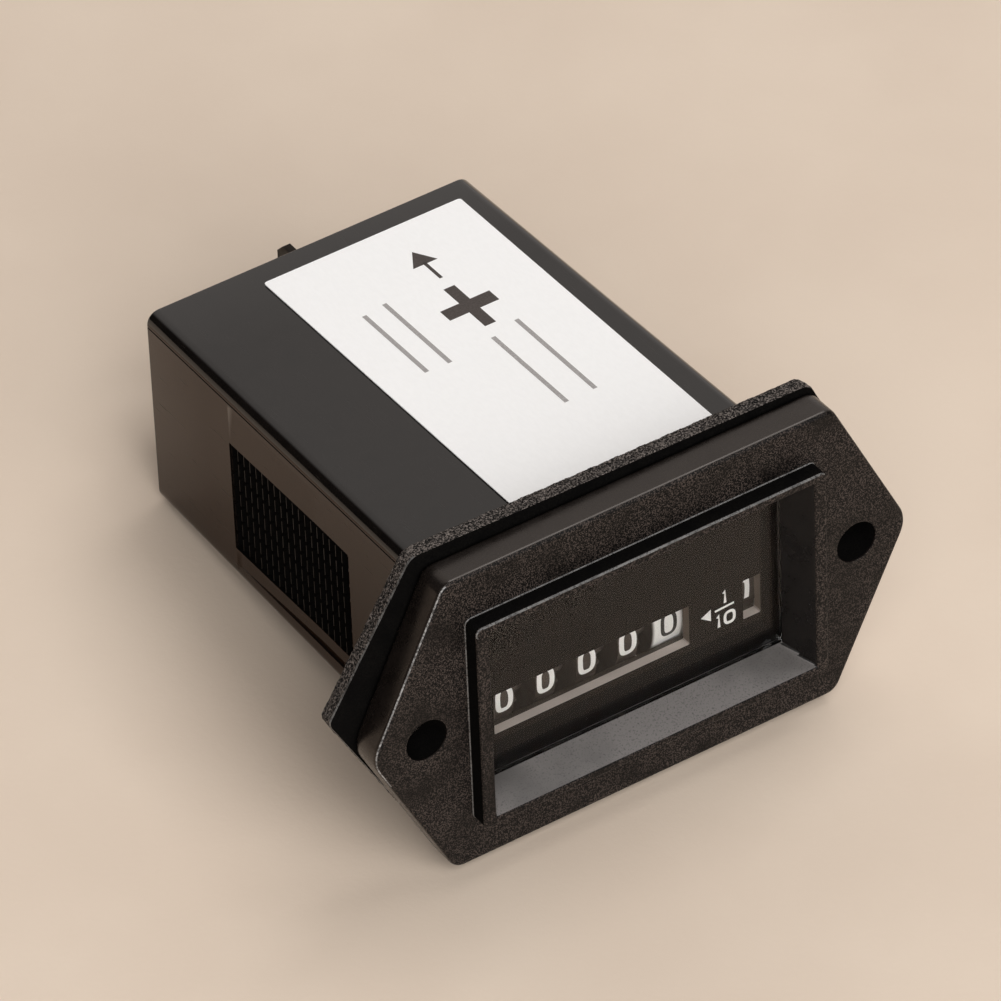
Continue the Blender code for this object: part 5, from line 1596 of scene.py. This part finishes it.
@dataclass
class Dial(Assembly):
    """The black dial with its tenth mark, and the clear lens in front of it.

    The mark's strokes and its arrowhead are given in millimetres.
    """

    front_y: float = 0.08 * MM
    back_y: float = 1.08 * MM
    lip_y: float = 1.62 * MM
    lip_height: float = 0.5 * MM
    lip_corner: float = 0.06 * MM
    window_foot: float = -5.5 * MM
    windows: tuple[Pair, ...] = ((-14.19 * MM, 6.5 * MM), (12.25 * MM, 14.15 * MM))
    ink: float = 0.02 * MM
    stroke: float = 0.29 * MM
    bar_stroke: float = 0.22 * MM
    one_half: Pair = (0.3 * MM, 0.68 * MM)
    nought_half: Pair = (0.5 * MM, 0.62 * MM)
    ones: tuple[Pair, ...] = ((10.3, -1.92), (9.6, -4.42))
    nought: Pair = (10.8, -4.4)
    bar: tuple[Pair, ...] = ((9.24, -3.12), (11.29, -3.0))
    arrowhead: tuple[Pair, ...] = ((7.74, -3.2), (8.8, -2.65), (8.8, -3.95))

    def mark(self) -> Shell:
        """Builds the print beside the hours: an arrowhead, and one over ten.

        Returns:
            The closed surfaces.
        """
        place = OnPlane(self.ink, np.array((0.0, self.front_y, 0.0)), np.array((0.0, 0.0, 1.0)))
        one = DigitStrokes(*self.one_half).strokes(Glyph.ONE)[0]
        nought = DigitStrokes(*self.nought_half).strokes(Glyph.ZERO)[0]
        paths = [one + np.array(middle) * MM for middle in self.ones]
        paths.append(nought + np.array(self.nought) * MM)
        parts = [place.stroke(path, self.stroke) for path in paths]
        parts.append(place.stroke(np.array(self.bar) * MM, self.bar_stroke))
        return joined(parts + [place.patch(np.array(self.arrowhead) * MM)])

    def lips(self) -> Shell:
        """Builds the low lips behind the dial, which deepen the lower edge of both windows.

        Returns:
            A block for each window.
        """
        foot = self.window_foot - self.lip_height
        blocks = []
        for left, right in self.windows:
            low = np.array((left, self.back_y - 0.01 * MM, foot))
            high = np.array((right, self.lip_y, self.window_foot))
            blocks.append(rounded_block(low, high, self.lip_corner, 3))
        return joined(blocks)

    def build(self) -> None:
        """Prints and dresses the dial, and dresses the lens."""
        lips = make_piece("dial_lips", self.lips(), "meter")
        self.wardrobe.dress(lips, "dial_black", Look.DRUM_BROWN)
        mark = make_piece("dial_print", self.mark(), "meter")
        self.wardrobe.dress(mark, "dial_black", Look.INK_WHITE)
        self.wardrobe.dress_nodes(Look.DIAL_BLACK, "dial_plate")
        self.wardrobe.dress_nodes(Look.CLEAR_PLASTIC, "lens")


@dataclass
class Label(Assembly):
    """The white paper label on the case's top, with its plus sign and arrow.

    The arrowhead is given in millimetres from the shaft's foot, and each rule by its x and its
    two ends in millimetres.
    """

    near: float = 0.85 * MM
    ink: float = 0.012 * MM
    sign: Pair = (6.4 * MM, 33.0 * MM)
    sign_reach: Pair = (2.64 * MM, 3.36 * MM)
    sign_width: Pair = (1.17 * MM, 1.63 * MM)
    shaft: Pair = (6.65 * MM, 37.95 * MM)
    shaft_length: float = 2.8 * MM
    shaft_width: float = 0.35 * MM
    arrowhead: tuple[Pair, ...] = ((-1.3, 2.6), (1.3, 2.6), (0.0, 4.8))
    rules: tuple[Colour, ...] = (
        (-2.0, 27.2, 37.4), (0.4, 27.1, 37.8), (5.5, 16.2, 27.9), (8.6, 16.3, 28.8)
    )
    rule_width: float = 0.45 * MM

    def plane(self) -> OnPlane:
        """Finds the label's upper face, which leans with the case's draft.

        Returns:
            The face, with y counted from the maker's zero point.
        """
        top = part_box("label")[1][2] - ORIGIN[2]
        up = np.array((0.0, math.cos(CASE_DRAFT), -math.sin(CASE_DRAFT)))
        return OnPlane(self.ink, np.array((0.0, self.near, top - 0.001 * MM)) - up * self.near, up)

    def marks(self) -> Shell:
        """Builds the plus sign and the arrow that points to the rear.

        Returns:
            The closed surfaces.
        """
        place = self.plane()
        x, y = self.sign
        reach_x, reach_y = self.sign_reach
        upright, level = self.sign_width
        end = (self.shaft[0], self.shaft[1] + self.shaft_length)
        lines = [
            (((x, y - reach_y), (x, y + reach_y)), upright),
            (((x - reach_x, y), (x - upright / 2, y)), level),
            (((x + upright / 2, y), (x + reach_x, y)), level),
            ((self.shaft, end), self.shaft_width),
        ]
        parts = [place.stroke(np.array(path), width) for path, width in lines]
        return joined(parts + [place.patch(np.array(self.arrowhead) * MM + self.shaft)])

    def ruled(self) -> Shell:
        """Returns the plain grey rules."""
        paths = [np.array(((x, near), (x, far))) * MM for x, near, far in self.rules]
        return joined([self.plane().stroke(path, self.rule_width) for path in paths])

    def build(self) -> None:
        """Prints and dresses the label."""
        marks = make_piece("label_marks", self.marks(), "meter")
        self.wardrobe.dress(marks, "label_paper", Look.INK_BROWN)
        rules = make_piece("label_rules", self.ruled(), "meter")
        self.wardrobe.dress(rules, "label_paper", Look.INK_GREY)
        self.wardrobe.dress_nodes(Look.LABEL_PAPER, "label")


@dataclass
class Works(Assembly):
    """The pieces inside the case: terminals, movement, motor and electronics."""

    looks: tuple[tuple[Look, str], ...] = (
        (Look.DARK_BRASS, "terminal_positive terminal_negative"),
        (Look.TINNED_BRASS, "gear_plate_left gear_plate_right plate_pillar_front"),
        (Look.TINNED_BRASS, "plate_pillar_lower plate_pillar_upper"),
        (Look.GEAR_WHITE, "idler_gear second_wheel first_wheel rotor_pinion"),
        (Look.STEEL, "idler_arbor second_arbor first_arbor rotor_arbor stator_plate coil_core"),
        (Look.STEEL, "core_screw_upper core_screw_lower crystal"),
        (Look.MAGNET_BLACK, "rotor_magnet"),
        (Look.FRAME_GREY, "coil_bobbin"),
        (Look.COPPER_WINDING, "coil_winding"),
        (Look.BOARD_GREEN, "circuit_board"),
        (Look.CHIP_BLACK, "driver_chip diode"),
        (Look.RESISTOR_TAN, "resistor"),
        (Look.SLEEVE_BLUE, "capacitor"),
    )

    def build(self) -> None:
        """Dresses the inner pieces."""
        for look, names in self.looks:
            self.wardrobe.dress_nodes(look, names)


# Studio


@dataclass
class Studio(Assembly):
    """The floor, the lamps, the surroundings and the camera.

    Each lamp has a name, a place, a size of its square face, and a brightness where 1 is white.
    """

    lens: float = 322.4
    azimuth: float = math.radians(-32.374)
    elevation: float = math.radians(39.191)
    roll: float = math.radians(-2.409)
    distance: float = 796.99 * MM
    target: Colour = (0.593 * MM, 20.065 * MM, 0.0)
    floor_size: float = 0.6
    floor_lines: int = 9
    floor_drop: float = 0.02 * MM
    rest_front: Pair = (-25.07 * MM, 0.0)
    rest_rear: Pair = (22.99 * MM, 5.77 * MM)
    lamps: tuple[tuple[str, Colour, float, float], ...] = (
        ("overhead", (0.38, 0.02, 0.85), 0.5, 3.7),
        ("front_fill", (-0.25, -1.1, 0.62), 1.6, 3.1),
    )
    glow: Colour = (0.415, 0.655, 0.632)
    glow_edge: Pair = (0.66, 0.88)
    glow_strength: Pair = (0.03, 0.8)
    glow_colour: Colour = (1.0, 0.93, 0.88)
    backdrop: Colour = (0.66, 0.55, 0.44)

    def camera(self) -> None:
        """Puts the camera where the photograph was taken from."""
        a, e = self.azimuth, self.elevation
        back = Vector((math.sin(a) * math.cos(e), -math.cos(a) * math.cos(e), math.sin(e)))
        level = Vector((math.cos(a), math.sin(a), 0.0))
        upright = back.cross(level)
        right = level * math.cos(self.roll) + upright * math.sin(self.roll)
        up = upright * math.cos(self.roll) - level * math.sin(self.roll)
        data = bpy.data.cameras.new("camera")
        data.lens = self.lens
        data.clip_start, data.clip_end = 0.01, 20.0
        holder = new_object("camera", data)
        turn = Matrix((right, up, back)).transposed().to_4x4()
        place = Vector(ORIGIN) + Vector(self.target) + back * self.distance
        holder.matrix_world = Matrix.Translation(place) @ turn
        bpy.context.scene.camera = holder

    def floor(self) -> None:
        """Lays a pale sheet under the meter, which rests on its gasket and its rear edge."""
        (front, low), (rear, high) = self.rest_front, self.rest_rear
        span = np.linspace(-self.floor_size, self.floor_size, self.floor_lines)
        x, y = np.meshgrid(span, span)
        z = (y - front) * ((high - low) / (rear - front)) - self.floor_drop
        mesh = bpy.data.meshes.new("floor")
        faces = grid_faces(self.floor_lines, self.floor_lines, False, False)
        mesh.from_pydata(np.stack([x, y, z], -1).reshape(-1, 3).tolist(), [], faces)
        sheet = new_object("floor", mesh)
        self.wardrobe.dress(sheet, None, Look.STUDIO_SHEET)

    def lamp(self, name: str, place: Colour, size: float, radiance: float) -> None:
        """Hangs a soft square lamp that faces the meter.

        Args:
            name: The lamp's name.
            place: Where it hangs, in metres.
            size: Its width and height.
            radiance: How bright its face is, where 1 is white.
        """
        data = bpy.data.lights.new(name, "AREA")
        data.shape = "RECTANGLE"
        data.size = data.size_y = size
        data.energy = radiance * math.pi * size**2
        holder = new_object(name, data)
        holder.location = place
        holder.rotation_mode = "QUATERNION"
        holder.rotation_quaternion = Vector(place).to_track_quat("Z", "Y")

    def surroundings(self) -> None:
        """Gives the room a broad soft glow at the right rear, dim elsewhere.

        The glow's strength follows the dot product of a direction with the glow's own one. The
        backdrop that the camera sees past the sheet is as pale as the sheet.
        """
        world = bpy.data.worlds.new("room")
        graph = Graph(world, "Background")
        towards = graph.node("ShaderNodeVectorMath", operation="DOT_PRODUCT")
        graph.put(towards.inputs[0], graph.coordinates["Generated"])
        graph.put(towards.inputs[1], self.glow)
        strength = graph.span(towards.outputs["Value"], *self.glow_edge, *self.glow_strength)
        graph.set(Color=self.glow_colour, Strength=strength)
        wall = graph.node("ShaderNodeBackground", Color=self.backdrop)
        seen = graph.node("ShaderNodeLightPath").outputs["Is Camera Ray"]
        both = graph.node("ShaderNodeMixShader", Fac=seen)
        graph.put(both.inputs[1], graph.shader.outputs["Background"])
        graph.put(both.inputs[2], wall.outputs["Background"])
        graph.put(graph.tree.nodes["World Output"].inputs["Surface"], both.outputs["Shader"])
        bpy.context.scene.world = world

    def build(self) -> None:
        """Sets up the studio."""
        self.camera()
        self.floor()
        for lamp in self.lamps:
            self.lamp(*lamp)
        self.surroundings()
        bpy.context.scene.view_settings.view_transform = "Standard"


def write_sizes() -> None:
    """Updates the view layer; it writes nothing.
    """
    bpy.context.view_layer.update()


def main() -> None:
    """Builds the meter's assemblies in order, then the studio."""
    logging.basicConfig(level=logging.INFO, format="%(name)s %(message)s")
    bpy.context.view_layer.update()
    wardrobe = Wardrobe()
    for assembly in (Bezel, Case, Gasket, Counter, Dial, Label, Works, Studio):
        LOG.info("building %s", assembly.__name__)
        assembly(wardrobe).build()
    write_sizes()


if __name__ == "__main__":
    main()
